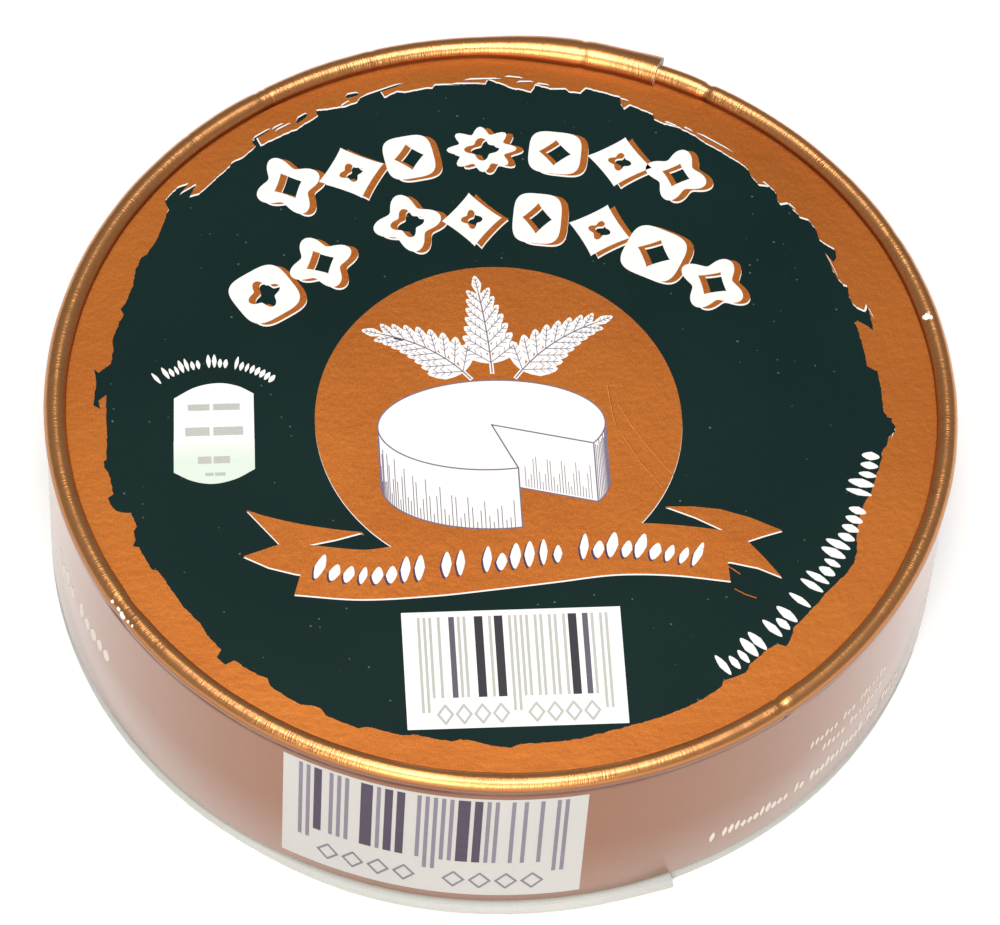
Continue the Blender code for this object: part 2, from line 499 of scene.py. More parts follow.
def make_ring_copper():
    """Copper ink with wrinkles on the rolled edge, a painted highlight on the roll's crown, painted shade
    under and inside the roll, and white card in its chips.

    The numbers beside turn are angles round the roll in radians.
    """
    material, tree, shader = make_copper("copper_ring_ink", 0.16, SHADED_RING_DEEP, SHADED_RING_BRIGHT, 0.36, 0.9, 0.20)
    shader.inputs["Coat IOR"].default_value = 1.3
    colour = shader.inputs["Base Color"].links[0].from_socket
    wrinkles = use_group(tree, ring_wrinkles)
    turn = use_group(tree, bead_turn).outputs["Turn"]
    # The roll's crown, from just above its outermost line to near its inner edge, is painted a brighter
    # copper: a painted highlight. It is dimmer on the wrinkles.
    rising = range_node(tree, turn, 0.15, 0.80)
    falling = range_node(tree, turn, 3.05, 2.65)
    shine = math_node(tree, "MULTIPLY", math_node(tree, "MULTIPLY", rising, falling), 0.85)
    # Under the roll, in the crease to the skirt, and on its inner side next to the disc, the copper is
    # painted dark brown: painted shade.
    under_from = range_node(tree, turn, -1.0, -0.75)
    under_to = range_node(tree, turn, 0.05, -0.35)
    under = math_node(tree, "MULTIPLY", under_from, under_to)
    inside_above = range_node(tree, turn, 2.75, 3.10)
    inside_below = range_node(tree, turn, -2.2, -2.5)
    inside = math_node(tree, "MAXIMUM", inside_above, inside_below)
    shaded = math_node(tree, "MULTIPLY", math_node(tree, "MAXIMUM", under, inside), 0.8)
    patches = range_node(tree, wrinkles.outputs["Patches"], 0.0, 1.0, 0.35, 1.0)
    crossing = math_node(tree, "MULTIPLY", wrinkles.outputs["Wrinkles"], rising)
    crossing = math_node(tree, "MULTIPLY", crossing, patches)
    add_bump(tree, shader, crossing, 0.24, 0.10 * MM)
    ridges = range_node(tree, crossing, 0.0, 1.0, 1.0, 0.74)
    colour = blend_colours(tree, math_node(tree, "MULTIPLY", shine, ridges), colour, BEAD_HIGHLIGHT)
    colour = blend_colours(tree, shaded, colour, BEAD_SHADE_BROWN)
    glossy = math_node(tree, "MAXIMUM", shine, shaded)
    tree.links.new(range_node(tree, shine, 0.0, 0.7, 0.38, 0.30), shader.inputs["Roughness"])
    tree.links.new(range_node(tree, glossy, 0.0, 0.6, 1.0, 0.12), shader.inputs["Coat Weight"])
    chipped = 0.0
    for azimuth, radius, height, size in CHIPS:
        x = radius * math.cos(math.radians(azimuth))
        y = radius * math.sin(math.radians(azimuth))
        mask = use_group(tree, chip, X=x, Y=y, Z=height, Size=size, Ragged=1.6 * size)
        chipped = math_node(tree, "MAXIMUM", chipped, mask.outputs["Mask"])
    colour = blend_colours(tree, chipped, colour, CARD_IN_CHIPS)
    tree.links.new(colour, shader.inputs["Base Color"])
    tree.links.new(range_node(tree, chipped, 0.0, 1.0, 0.85, 0.0), shader.inputs["Metallic"])
    return material


copper_ring = make_ring_copper()
print("material", copper_ring.name, "with", len(CHIPS), "chips")

# %% [markdown]
# The other inks are thin and plain. Each one takes the card's surface with it, because ink follows the card
# that it lies on. The dark green shows every speck of dust.

# %% The plain inks and the bare card
DUST_GREY = (0.09, 0.12, 0.12)


def make_ink(name, deep, pale, roughness, coat, dusty=0.0, tooth=0.35, grain=0.05, specular=0.5):
    """A plain ink whose colour wavers between two near tones."""
    material, tree, shader = start_material(name, roughness, 0.0, coat, 0.30, specular)
    surface = use_group(tree, card_surface)
    waver = math_node(tree, "ADD", surface.outputs["Cloud"], surface.outputs["Flakes"])
    colour = blend_colours(tree, range_node(tree, waver, 0.3, 1.7), deep, pale)
    if dusty > 0.0:
        specks = use_group(tree, dust, Amount=dusty)
        colour = blend_colours(tree, specks.outputs["Mask"], colour, DUST_GREY)
    tree.links.new(colour, shader.inputs["Base Color"])
    patchy = range_node(tree, surface.outputs["Streaks"], 0.0, 1.0, roughness + grain, roughness - grain)
    tree.links.new(patchy, shader.inputs["Roughness"])
    add_bump(tree, shader, surface.outputs["Height"], tooth, 0.04 * MM)
    return material


green_ink = make_ink(
    "dark_green_ink", (0.0020, 0.0155, 0.0150), (0.0042, 0.0215, 0.0205), 0.46, 0.0,
    dusty=0.24, grain=0.01, specular=0.14,
)
white_print = make_ink("white_print", (0.86, 0.86, 0.85), (0.92, 0.92, 0.91), 0.50, 0.1)
# The skirt's panel is the same white ink, painted at about half brightness: painted shade on the upright
# skirt.
shaded_side_white = make_ink("shaded_side_panel_white", (0.440, 0.43, 0.435), (0.490, 0.48, 0.485), 0.50, 0.1)
stripe_ink = make_ink("stripe_ink", (0.022, 0.018, 0.028), (0.034, 0.029, 0.044), 0.55, 0.1)
middle_stripe_ink = make_ink("middle_stripe_ink", (0.095, 0.082, 0.120), (0.130, 0.112, 0.160), 0.55, 0.1)
pale_stripe_ink = make_ink("pale_stripe_ink", (0.46, 0.47, 0.44), (0.54, 0.55, 0.52), 0.55, 0.1)
violet_stripe_ink = make_ink(
    "violet_stripe_ink", (0.045, 0.030, 0.060), (0.062, 0.044, 0.080), 0.55, 0.0, specular=0.25,
)
pale_violet_ink = make_ink(
    "pale_violet_stripe_ink", (0.17, 0.15, 0.205), (0.21, 0.19, 0.25), 0.55, 0.0, specular=0.25,
)
shadow_ink = make_ink("purple_shadow_ink", (0.060, 0.022, 0.070), (0.085, 0.035, 0.095), 0.50, 0.1)
hatch_ink = make_ink("hatching_ink", (0.16, 0.12, 0.18), (0.22, 0.17, 0.25), 0.55, 0.1)
pale_line_ink = make_ink("pale_line_ink", (0.62, 0.56, 0.50), (0.70, 0.64, 0.58), 0.50, 0.2)
# The bare card is painted mid grey, not white: painted shade for the base's strip under the skirt. The ring's
# cut end takes it too.
white_card = make_ink("white_card", (0.44, 0.45, 0.44), (0.51, 0.52, 0.51), 0.62, 0.0, tooth=0.8)
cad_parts["base"].data.materials.clear()
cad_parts["base"].data.materials.append(white_card)
table_finish, table_tree, table_shader = start_material("white_table", 0.9)
table_shader.inputs["Base Color"].default_value = (0.82, 0.82, 0.82, 1.0)
table_shader.inputs["Emission Color"].default_value = (1.0, 1.0, 1.0, 1.0)
table_shader.inputs["Emission Strength"].default_value = TABLE_GLOW
table.data.materials.append(table_finish)
print(len(bpy.data.materials), "materials")

# %% [markdown]
# The lid's ring is one strip of card, so its shape is one outline carried round the box. Half of the outline
# is the skirt, and at its top the card rolls over inwards into the bead. A spin makes the ring. Each point
# is then moved to where the winding puts it: out over the inner layer just after the cut, and in again
# further on.

# %% The outline of the lid's ring
BEAD_FIRST = -38.0
BEAD_SWEEP = 234.0
BEAD_STEPS = 30
RING_STEPS = 720


def bead_point(angle_degrees):
    """Radius and height of a point on the bead, at an angle up from its outermost point."""
    angle = math.radians(angle_degrees)
    radius = BEAD_RADIUS + 0.5 * BEAD_WIDTH * math.cos(angle)
    return radius, BEAD_MIDDLE + 0.5 * BEAD_HEIGHT * math.sin(angle)


ABOVE_NECK = bead_point(BEAD_FIRST)[1] - 0.01 * MM


def lean(height):
    """Radius of the skirt at a height. It leans in a little, so that it meets the bead in a crease."""
    return SKIRT_RADIUS - NECK_DEPTH * (height - SKIRT_FOOT) / (SKIRT_TOP - SKIRT_FOOT)


def lid_outline():
    """Radius and height of the points up the skirt, over the bead and down inside."""
    bead = [bead_point(BEAD_FIRST + BEAD_SWEEP * step / BEAD_STEPS) for step in range(BEAD_STEPS + 1)]
    neck_height = bead[0][1] - 0.35 * NECK_SPAN
    skirt = [
        (SKIRT_RADIUS - 0.7 * EDGE_ROUND, SKIRT_FOOT),
        (SKIRT_RADIUS - 0.2 * EDGE_ROUND, SKIRT_FOOT + 0.3 * EDGE_ROUND),
        (SKIRT_RADIUS, SKIRT_FOOT + EDGE_ROUND),
        (lean(0.5 * (SKIRT_FOOT + SKIRT_TOP)), 0.5 * (SKIRT_FOOT + SKIRT_TOP)),
        (lean(SKIRT_TOP), SKIRT_TOP),
        (lean(neck_height), neck_height),
    ]
    inside = [(LID_INNER_RADIUS, bead[-1][1]), (LID_INNER_RADIUS, SKIRT_FOOT)]
    return skirt + bead + inside


outline = lid_outline()
print("outline of", len(outline), "points")

# %% [markdown]
# A real bead is never even. It has slow ripples, one sharp crease just before the overlap, small folds along
# the back, and dents at the left and at the front right where something has knocked it. Beside a crease or
# dent the card may stand out a little instead. All of these move a point along the bead's own outward
# direction, so one function can add them up.

# %% Ripples, folds and dents
BEAD_MARKS = (
    # azimuth in degrees, depth in millimetres, half width in degrees
    (75.6, 0.13, 0.35),
    (57.6, 0.24, 0.45),
    (61.0, -0.06, 2.2),
    (121.6, 0.13, 0.35),
    (120.5, 0.10, 0.30),
    (133.0, 0.07, 0.30),
    (104.5, 0.06, 0.30),
    (-55.6, 0.17, 0.40),
    (-54.3, -0.05, 0.60),
    (24.0, 0.06, 1.2),
    (-149.0, 0.16, 2.0),
)
SKIRT_RIPPLE = 0.10 * MM
BEAD_RIPPLE = 0.06 * MM


def degrees_apart(first, second):
    """The smaller angle between two azimuths in degrees."""
    return abs((first - second + 180.0) % 360.0 - 180.0)


def bead_dent(azimuth):
    """How far in the bead is pushed at this azimuth."""
    total = 0.0
    for place, depth, half_width in BEAD_MARKS:
        apart = degrees_apart(math.degrees(azimuth), place) / half_width
        total += depth * MM * math.exp(-apart * apart)
    around = Vector((math.cos(azimuth), math.sin(azimuth), 0.0))
    slow = noise.noise(around * 7.0)
    quick = noise.noise(around * 31.0 + Vector((0.0, 0.0, 5.0)))
    return total + BEAD_RIPPLE * slow + 0.4 * BEAD_RIPPLE * quick


def skirt_ripple(azimuth, height):
    """How far out the skirt wavers, most at its foot and nothing at its top, where the bead stiffens it."""
    around = Vector((math.cos(azimuth), math.sin(azimuth), 0.0))
    fade = min(max((SKIRT_TOP - height) / (SKIRT_TOP - SKIRT_FOOT), 0.0), 1.0)
    return SKIRT_RIPPLE * fade * noise.noise(around * 3.0)


def gives_way(radius, height):
    """Direction, as radius and height, in which a point of the outline gives way to the outer layer."""
    if radius < LID_INNER_RADIUS + 0.01 * MM and height < BEAD_MIDDLE - 0.3 * MM:
        return 0.0, 0.0
    if height > ABOVE_NECK:
        return (radius - BEAD_RADIUS) / (0.5 * BEAD_WIDTH), (height - BEAD_MIDDLE) / (0.5 * BEAD_HEIGHT)
    return 1.0, 0.0


def skirt_radius(azimuth, height):
    """Radius of the skirt's printed outside, for what is laid on it."""
    turn = (azimuth - LID_SEAM) % math.tau
    radius = lean(height) + outer_layer(turn) + outward_stray(turn)
    return radius * oval(azimuth) + skirt_ripple(azimuth, height)


print("marks on the bead:", len(BEAD_MARKS))

# %% [markdown]
# Now the ring itself. The outline's two end loops don't meet after the spin: they stand a hair apart at the
# cut, and the bridge between them is the cut edge of the outer layer, which shows the white inside of the
# card.

# %% The lid's ring
SHARP_ANGLE = math.radians(38.0)


def spun_outline(points, start, angle, steps):
    """Spin a closed outline round the box, and give the edges of its first and last loops too."""
    bm = bmesh.new()
    first_verts = [bm.verts.new((r * math.cos(start), r * math.sin(start), z)) for r, z in points]
    first = []
    for index, vert in enumerate(first_verts):
        first.append(bm.edges.new((vert, first_verts[(index + 1) % len(first_verts)])))
    spun = bmesh.ops.spin(
        bm, geom=first_verts + first, cent=(0.0, 0.0, 0.0), axis=(0.0, 0.0, 1.0),
        dvec=(0.0, 0.0, 0.0), angle=angle, steps=steps, use_merge=False, use_duplicate=False,
    )
    last = [item for item in spun["geom_last"] if isinstance(item, bmesh.types.BMEdge)]
    return bm, first, last


def wind(bm):
    """Move every point of the spun ring to where the wound strip has it."""
    for vert in bm.verts:
        radius = math.hypot(vert.co.x, vert.co.y)
        height = vert.co.z
        azimuth = math.atan2(vert.co.y, vert.co.x)
        turn = (azimuth - LID_SEAM) % math.tau
        if turn > math.tau - 0.5 * CUT_WIDTH:
            turn = 0.0
        out, up = gives_way(radius, height)
        cover = outer_layer(turn)
        on_bead = 1.0 if height > ABOVE_NECK and (out, up) != (0.0, 0.0) else 0.0
        pushed = on_bead * bead_dent(azimuth)
        grown = (radius + (cover - pushed) * out + outward_stray(turn) * max(out, 0.0)) * oval(azimuth)
        if on_bead == 0.0 and out > 0.0:
            grown += skirt_ripple(azimuth, height)
        vert.co = (grown * math.cos(azimuth), grown * math.sin(azimuth), height + (cover - pushed) * up)


def finish_piece(name, bm, materials, smooth=True):
    """Make the finished mesh a piece that rides on the box."""
    mesh = bpy.data.meshes.new(name)
    bm.to_mesh(mesh)
    bm.free()
    if smooth:
        mesh.shade_smooth()
        mesh.set_sharp_from_angle(angle=SHARP_ANGLE)
    for material in materials:
        mesh.materials.append(material)
    piece = bpy.data.objects.new(name, mesh)
    scene.collection.objects.link(piece)
    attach(piece, "root")
    print(name, "has", len(mesh.polygons), "faces")
    return piece


bm, first_loop, last_loop = spun_outline(outline, LID_SEAM, math.tau - CUT_WIDTH, RING_STEPS)
bridge = bmesh.ops.bridge_loops(bm, edges=first_loop + last_loop)
for face in bridge["faces"]:
    face.material_index = 1
wind(bm)
bmesh.ops.recalc_face_normals(bm, faces=bm.faces)
open_edges = sum(1 for edge in bm.edges if not edge.is_manifold)
print("open edges on the ring:", open_edges)
lid_ring = finish_piece("lid_ring", bm, (copper_ring, white_card))
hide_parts("lid_band")

# %% [markdown]
# The print is made of films. A film is a flat shape with a hair of thickness that lies on the disc, and each
# later ink lies one film higher. Separate films keep every edge perfectly crisp at any distance, which a
# painted pattern can't do, and they show how the sheet was really printed. On this box one plate was set
# about a quarter of a millimetre too high. So a thin line of white card shows along the lower edges of the
# copper shapes, and along the upper edge of the green field. The white under the field is set in a little
# and moved up. Away from the field's upper edge it is tucked in further, because no white shows there.

# %% Laying a film
FILM = 0.012 * MM
FILM_ROOT = 0.02 * MM
PLATE_SLIP = 0.24 * MM
PLATE_OVERLAP = 0.14 * MM
TUCKED_IN = 2.0
WHITE_SHOWS_AT = 80.0
WHITE_SHOWS_WITHIN = 66.0


def lay_film(name, bm, level, material):
    """Thicken the flat faces of a bmesh and lay them on the disc as the print's nth film."""
    for face in bm.faces:
        if face.normal.z < 0.0:
            face.normal_flip()
    bmesh.ops.translate(bm, verts=bm.verts, vec=(0.0, 0.0, DISC_TOP - FILM_ROOT))
    grown = bmesh.ops.extrude_face_region(bm, geom=bm.faces[:], use_keep_orig=True)
    top = [item for item in grown["geom"] if isinstance(item, bmesh.types.BMVert)]
    bmesh.ops.translate(bm, verts=top, vec=(0.0, 0.0, FILM_ROOT + level * FILM))
    bmesh.ops.recalc_face_normals(bm, faces=bm.faces)
    return finish_piece(name, bm, (material,), smooth=False)


def add_shape(bm, points):
    """One flat face through these points, in millimetres."""
    return bm.faces.new([bm.verts.new((x * MM, y * MM, 0.0)) for x, y in points])


def shift_all(bm, x, y):
    """Move a whole bmesh by millimetres in the print's plane."""
    bmesh.ops.translate(bm, verts=bm.verts, vec=(x * MM, y * MM, 0.0))


LIFTS = 37
LIFT_STEP = 0.00025 * MM


def part_heights(bm):
    """Lift overlapping shapes by turns, each one step higher than the last, so that none share a plane."""
    for index, face in enumerate(bm.faces):
        for vert in face.verts:
            vert.co.z += (index % LIFTS) * LIFT_STEP


print("a film is", FILM / MM, "mm thick")

# %% [markdown]
# The dark green field is a rough circle with a torn, brushed edge. Its outline was measured on the
# photograph as an azimuth and a radius wherever the edge turns. Some teeth lean over, so the azimuth runs
# back for a point or two. Between two measured points the edge is cut at short steps, and noise makes it
# rough there.

# %% The edge of the green field
FIELD_EDGE = (
    # azimuth in degrees and radius in millimetres
    (-177.0, 47.3), (-172.2, 47.8), (-172.0, 48.2), (-171.0, 48.3), (-170.0, 47.9), (-166.4, 48.0),
    (-166.0, 48.8), (-164.9, 48.8), (-163.6, 48.3), (-163.0, 47.6), (-162.6, 46.8), (-160.2, 46.8),
    (-159.6, 47.4), (-158.3, 47.6), (-157.4, 48.2), (-156.9, 47.7), (-152.8, 47.7), (-152.4, 47.2),
    (-150.0, 47.1), (-145.0, 47.3), (-141.6, 47.2), (-139.6, 47.6), (-136.5, 47.8), (-136.1, 48.9),
    (-134.5, 48.9), (-134.0, 47.8), (-130.0, 47.5), (-128.6, 47.2), (-127.6, 47.9), (-122.4, 48.0),
    (-121.2, 47.5), (-119.8, 47.3), (-118.6, 47.9), (-113.6, 47.9), (-112.4, 47.3), (-107.6, 47.2),
    (-106.6, 47.0), (-106.2, 46.7), (-100.6, 46.8), (-99.4, 46.4), (-97.6, 46.4), (-95.0, 46.9),
    (-92.2, 47.1), (-90.8, 46.6), (-82.0, 46.6), (-80.0, 46.4), (-74.0, 46.3), (-68.5, 46.5), (-63.5, 46.4),
    (-59.9, 46.1), (-59.2, 45.6), (-57.6, 45.9), (-55.6, 46.2), (-54.0, 45.6), (-50.5, 45.5), (-48.8, 45.8),
    (-48.2, 46.7), (-47.0, 46.4), (-45.8, 46.0), (-45.2, 45.6), (-41.8, 45.7), (-37.3, 45.8), (-33.5, 46.4),
    (-30.9, 46.6), (-28.8, 46.3), (-26.2, 45.4), (-23.8, 44.9), (-20.0, 44.9), (-18.4, 45.3), (-15.4, 45.4),
    (-11.8, 45.8), (-10.9, 45.6), (-9.8, 46.1), (-8.0, 46.4), (-7.2, 46.9), (-6.2, 47.1), (-5.4, 46.7),
    (-4.8, 46.7), (-4.6, 46.1), (-3.6, 45.7), (0.4, 45.6), (3.6, 45.5), (4.0, 45.0), (4.6, 44.4),
    (9.6, 44.5), (12.9, 44.5), (13.2, 44.9), (12.0, 45.7), (10.9, 46.3), (12.4, 46.5), (15.2, 46.8),
    (14.2, 46.2), (15.2, 45.5), (16.0, 45.1), (18.2, 45.2), (19.2, 45.6), (19.8, 45.1), (22.6, 44.9),
    (26.6, 45.4), (24.4, 45.6), (24.9, 46.3), (26.1, 46.7), (27.2, 46.2), (28.8, 45.8), (30.4, 46.3),
    (32.5, 46.4), (33.6, 45.8), (35.2, 45.8), (36.8, 46.0), (37.4, 45.1), (38.6, 45.3), (39.2, 45.8),
    (41.0, 46.0), (42.2, 45.2), (44.2, 45.5), (45.9, 46.1), (53.4, 45.9), (55.3, 46.1), (58.8, 46.2),
    (60.8, 45.8), (62.4, 45.9), (62.9, 46.5), (65.0, 46.6), (66.8, 46.7), (67.4, 45.9), (68.2, 46.5),
    (68.6, 47.4), (74.0, 47.5), (74.6, 46.6), (76.4, 46.5), (77.0, 46.8), (79.2, 46.5), (81.6, 46.9),
    (81.8, 46.3), (82.2, 45.7), (85.6, 46.2), (86.7, 46.7), (88.8, 47.4), (89.2, 46.7), (94.6, 46.9),
    (97.0, 47.1), (97.4, 46.7), (101.8, 46.7), (102.8, 47.0), (104.9, 46.6), (105.2, 47.8), (108.4, 47.5),
    (109.2, 46.9), (111.6, 47.0), (113.2, 47.3), (115.4, 47.9), (115.5, 47.1), (119.6, 46.6), (125.8, 47.1),
    (125.4, 48.5), (126.3, 48.2), (126.4, 47.4), (129.2, 47.1), (131.2, 47.5), (131.8, 47.2), (136.6, 47.1),
    (138.6, 47.2), (139.8, 47.8), (137.6, 48.4), (140.4, 49.0), (138.2, 49.2), (139.6, 49.8), (142.4, 49.9),
    (143.2, 48.8), (145.2, 48.3), (148.2, 47.6), (151.6, 47.6), (152.4, 48.0), (154.8, 47.9), (157.4, 47.3),
    (160.6, 47.3), (161.8, 47.6), (162.6, 47.1), (167.4, 47.5), (169.2, 47.1), (171.4, 47.1), (172.4, 47.8),
    (173.2, 48.4), (172.6, 49.0), (174.6, 48.6), (176.8, 48.7), (178.6, 48.8), (179.2, 48.0), (177.8, 48.2),
    (176.8, 47.3), (181.0, 47.3),
)
FIELD_STEP = 0.25


def polar(degrees, radius):
    """A point in millimetres from its azimuth and radius."""
    return radius * math.cos(math.radians(degrees)), radius * math.sin(math.radians(degrees))


def torn_edge(inset):
    """The field's outline in millimetres: the measured points, with a rough edge between them."""
    points = []
    for (start, low), (end, high) in zip(FIELD_EDGE, FIELD_EDGE[1:]):
        steps = max(1, math.ceil(abs(end - start) / FIELD_STEP))
        for step in range(steps):
            share = step / steps
            degrees = start + (end - start) * share
            x, y = polar(degrees, 1.0)
            rough = 0.10 * noise.noise(Vector((x * 60.0, y * 60.0, 0.0)))
            rough += 0.07 * noise.noise(Vector((x * 170.0, y * 170.0, 0.0)))
            hidden = degrees_apart(degrees, WHITE_SHOWS_AT) > WHITE_SHOWS_WITHIN
            tucked = TUCKED_IN if inset > 0.0 and hidden else 0.0
            points.append(polar(degrees, low + (high - low) * share + rough - inset - tucked))
    return points


def field_bmesh(inset):
    """The field as one flat face, set in by this many millimetres."""
    bm = bmesh.new()
    add_shape(bm, torn_edge(inset))
    return bm


bm = field_bmesh(PLATE_OVERLAP / MM)
shift_all(bm, 0.0, (PLATE_OVERLAP + PLATE_SLIP) / MM)
lay_film("white_under_field", bm, 1, white_print)
lay_film("green_field", field_bmesh(0.0), 2, green_ink)
print("measured points on the field's edge:", len(FIELD_EDGE))

# %% [markdown]
# Outside the field's upper edge the brush has left single strokes. Each is a thin pointed sliver between two
# measured ends. The white under it reaches one slip of the plate further up, so a very thin stroke looks
# white.

# %% Loose brush strokes
STROKES = (
    # azimuth and radius of one end, the same of the other end, and the thickness of the green in millimetres
    (126.2, 48.5, 122.6, 48.5, 0.24), (122.8, 48.3, 120.6, 48.3, 0.08), (122.6, 47.85, 119.6, 47.85, 0.10),
    (119.0, 47.7, 116.7, 48.0, 0.70), (111.8, 47.2, 110.0, 47.6, 0.10), (110.4, 48.4, 108.2, 48.2, 0.50),
    (108.8, 47.5, 101.2, 48.2, 0.26), (92.6, 47.5, 86.6, 47.6, 0.08), (86.4, 47.9, 83.4, 47.8, 0.08),
    (84.6, 47.1, 81.8, 47.4, 0.08), (81.6, 47.1, 79.4, 47.1, 0.08), (68.8, 47.2, 67.2, 47.3, 0.08),
    (66.4, 46.7, 64.8, 46.5, 0.06), (60.9, 46.2, 58.6, 46.3, 0.06), (57.8, 46.6, 56.2, 46.6, 0.05),
    (55.9, 46.7, 49.0, 46.9, 0.10), (42.4, 45.9, 40.8, 46.0, 0.06), (36.9, 46.0, 35.2, 46.1, 0.06),
    (141.4, 49.9, 138.2, 49.1, 0.20), (140.4, 49.0, 137.4, 48.2, 0.12), (-9.2, 46.4, -10.8, 46.6, 0.10),
    (-6.6, 47.1, -8.4, 46.7, 0.12), (14.8, 46.7, 12.8, 46.9, 0.10), (26.3, 45.4, 21.4, 45.1, 0.10),
    (174.8, 48.9, 171.8, 49.1, 0.14), (94.8, 47.0, 89.0, 46.8, 0.10),
)


def add_stroke(bm, first, last, below, above):
    """A pointed sliver from one point to another, reaching this far below and above the line between them."""
    (x0, y0), (x1, y1) = first, last
    outline = [(0.0, 0.0), (0.2, -below), (0.8, -0.8 * below), (1.0, 0.0), (0.8, 0.8 * above), (0.2, above)]
    add_shape(bm, [(x0 + (x1 - x0) * share, y0 + (y1 - y0) * share + rise) for share, rise in outline])


def strokes_bmesh(slip):
    """All loose strokes as flat faces, reaching one slip further up."""
    bm = bmesh.new()
    for degrees, radius, other_degrees, other_radius, thickness in STROKES:
        half = 0.5 * thickness
        add_stroke(bm, polar(degrees, radius), polar(other_degrees, other_radius), half, half + slip)
    return bm


lay_film("white_under_strokes", strokes_bmesh(PLATE_SLIP / MM), 1.5, white_print)
lay_film("green_strokes", strokes_bmesh(0.0), 2.5, green_ink)

# %% [markdown]
# In the middle of the field sits a round copper badge, and a copper ribbon with swallow tails crosses its
# foot. Both are copper shapes inside the green, so both get the same treatment: the shape in white where the
# plate ought to have printed, and the copper shape a little higher. The badge is a circle. The ribbon's body
# starts as a grid, whose two long edges are bent to a few measured heights.

# %% The round badge
BADGE_CENTRE = (-0.61, -2.51)
BADGE_RADIUS = 21.94


def badge_bmesh():
    """The badge as one flat face."""
    bm = bmesh.new()
    bmesh.ops.create_circle(bm, cap_ends=True, segments=256, radius=BADGE_RADIUS * MM)
    shift_all(bm, *BADGE_CENTRE)
    return bm


bm = badge_bmesh()
shift_all(bm, 0.0, -0.6 * PLATE_SLIP / MM)
lay_film("white_under_badge", bm, 3, white_print)
lay_film("copper_badge", badge_bmesh(), 4, copper_disc)

# %% The ribbon
RIBBON_LOWER = (
    (-25.9, -25.8), (-18.3, -26.7), (-9.7, -26.5), (-1.8, -25.8), (5.0, -25.1), (11.8, -24.4),
    (18.5, -24.7), (25.3, -25.8),
)
RIBBON_UPPER = (
    (-23.9, -19.1), (-17.6, -20.0), (-14.1, -19.7), (-9.4, -19.8), (-1.5, -19.3), (5.3, -18.5),
    (10.5, -17.8), (15.3, -17.5), (20.2, -18.0), (25.0, -18.8),
)
LEFT_TAIL = (
    (-31.1, -14.1), (-29.1, -14.9), (-27.0, -15.6), (-24.9, -16.2), (-22.7, -16.7), (-20.2, -17.2),
    (-17.5, -17.6), (-20.8, -18.5), (-23.9, -19.1), (-24.6, -23.2), (-25.7, -23.0), (-28.8, -22.0),
    (-31.7, -20.4), (-27.4, -18.9),
)
RIGHT_TAIL = (
    (18.4, -15.3), (21.6, -15.4), (24.9, -15.9), (28.4, -17.2), (32.0, -19.1), (29.9, -19.7), (27.8, -20.4),
    (29.6, -22.8), (31.4, -25.5), (28.7, -24.1), (25.5, -23.2), (24.6, -23.2), (25.0, -18.8), (21.8, -16.9),
)


def smooth_height(points, x):
    """Height at x on a smooth curve through measured points."""
    x = min(max(x, points[0][0]), points[-1][0])
    for index in range(len(points) - 1):
        (x0, y0), (x1, y1) = points[index], points[index + 1]
        if x <= x1:
            before = points[max(index - 1, 0)]
            after = points[min(index + 2, len(points) - 1)]
            slope0 = (y1 - before[1]) / (x1 - before[0])
            slope1 = (after[1] - y0) / (after[0] - x0)
            t = (x - x0) / (x1 - x0)
            span = x1 - x0
            return (
                (2 * t ** 3 - 3 * t ** 2 + 1) * y0 + (t ** 3 - 2 * t ** 2 + t) * span * slope0
                + (-2 * t ** 3 + 3 * t ** 2) * y1 + (t ** 3 - t ** 2) * span * slope1
            )
    return points[-1][1]


def bent_strip(bm, lower, upper, steps):
    """A strip between two measured curves, from a grid."""
    made = bmesh.ops.create_grid(bm, x_segments=steps, y_segments=1, size=1.0)
    for vert in made["verts"]:
        curve = upper if vert.co.y > 0.0 else lower
        share = 0.5 * (vert.co.x + 1.0)
        x = curve[0][0] + (curve[-1][0] - curve[0][0]) * share
        vert.co = Vector((x * MM, smooth_height(curve, x) * MM, 0.0))


def ribbon_bmesh():
    """The ribbon's body and its two tails."""
    bm = bmesh.new()
    bent_strip(bm, RIBBON_LOWER, RIBBON_UPPER, 60)
    for number, tail in enumerate((LEFT_TAIL, RIGHT_TAIL)):
        for vert in add_shape(bm, tail).verts:
            vert.co.z = 8 * (number + 1) * LIFT_STEP
    return bm


bm = ribbon_bmesh()
shift_all(bm, 0.0, -0.8 * PLATE_SLIP / MM)
lay_film("white_under_ribbon", bm, 3.5, white_print)
lay_film("copper_ribbon", ribbon_bmesh(), 4.5, copper_disc)

# %% [markdown]
# The bold white shapes over the badge follow two arcs. They are plain ornaments: flowers of four lobes,
# lozenges, soft squares and a blunt star, each with a hole and a copper drop shadow to its lower right. One
# function bends a circle into the outline of any kind, and bends a smaller one for the hole.

# %% The ornament shapes
ORNAMENT_POINTS = 64
ORNAMENT_SHARE = 0.92


def four_lobes(angle):
    """A flower of four round lobes."""
    radius = 0.80 + 0.20 * math.cos(4.0 * angle)
    return radius * math.cos(angle), radius * math.sin(angle)


def lozenge(angle):
    """A diamond with slightly hollow sides."""
    x = math.copysign(abs(math.cos(angle)) ** 2.2, math.cos(angle))
    y = math.copysign(abs(math.sin(angle)) ** 2.2, math.sin(angle))
    return x, y


def soft_square(angle):
    """A square with round corners."""
    x = math.copysign(abs(math.cos(angle)) ** 0.55, math.cos(angle))
    y = math.copysign(abs(math.sin(angle)) ** 0.55, math.sin(angle))
    return x, y


def eight_star(angle):
    """A blunt star of eight points."""
    radius = 0.84 + 0.16 * math.cos(8.0 * angle)
    return radius * math.cos(angle), radius * math.sin(angle)


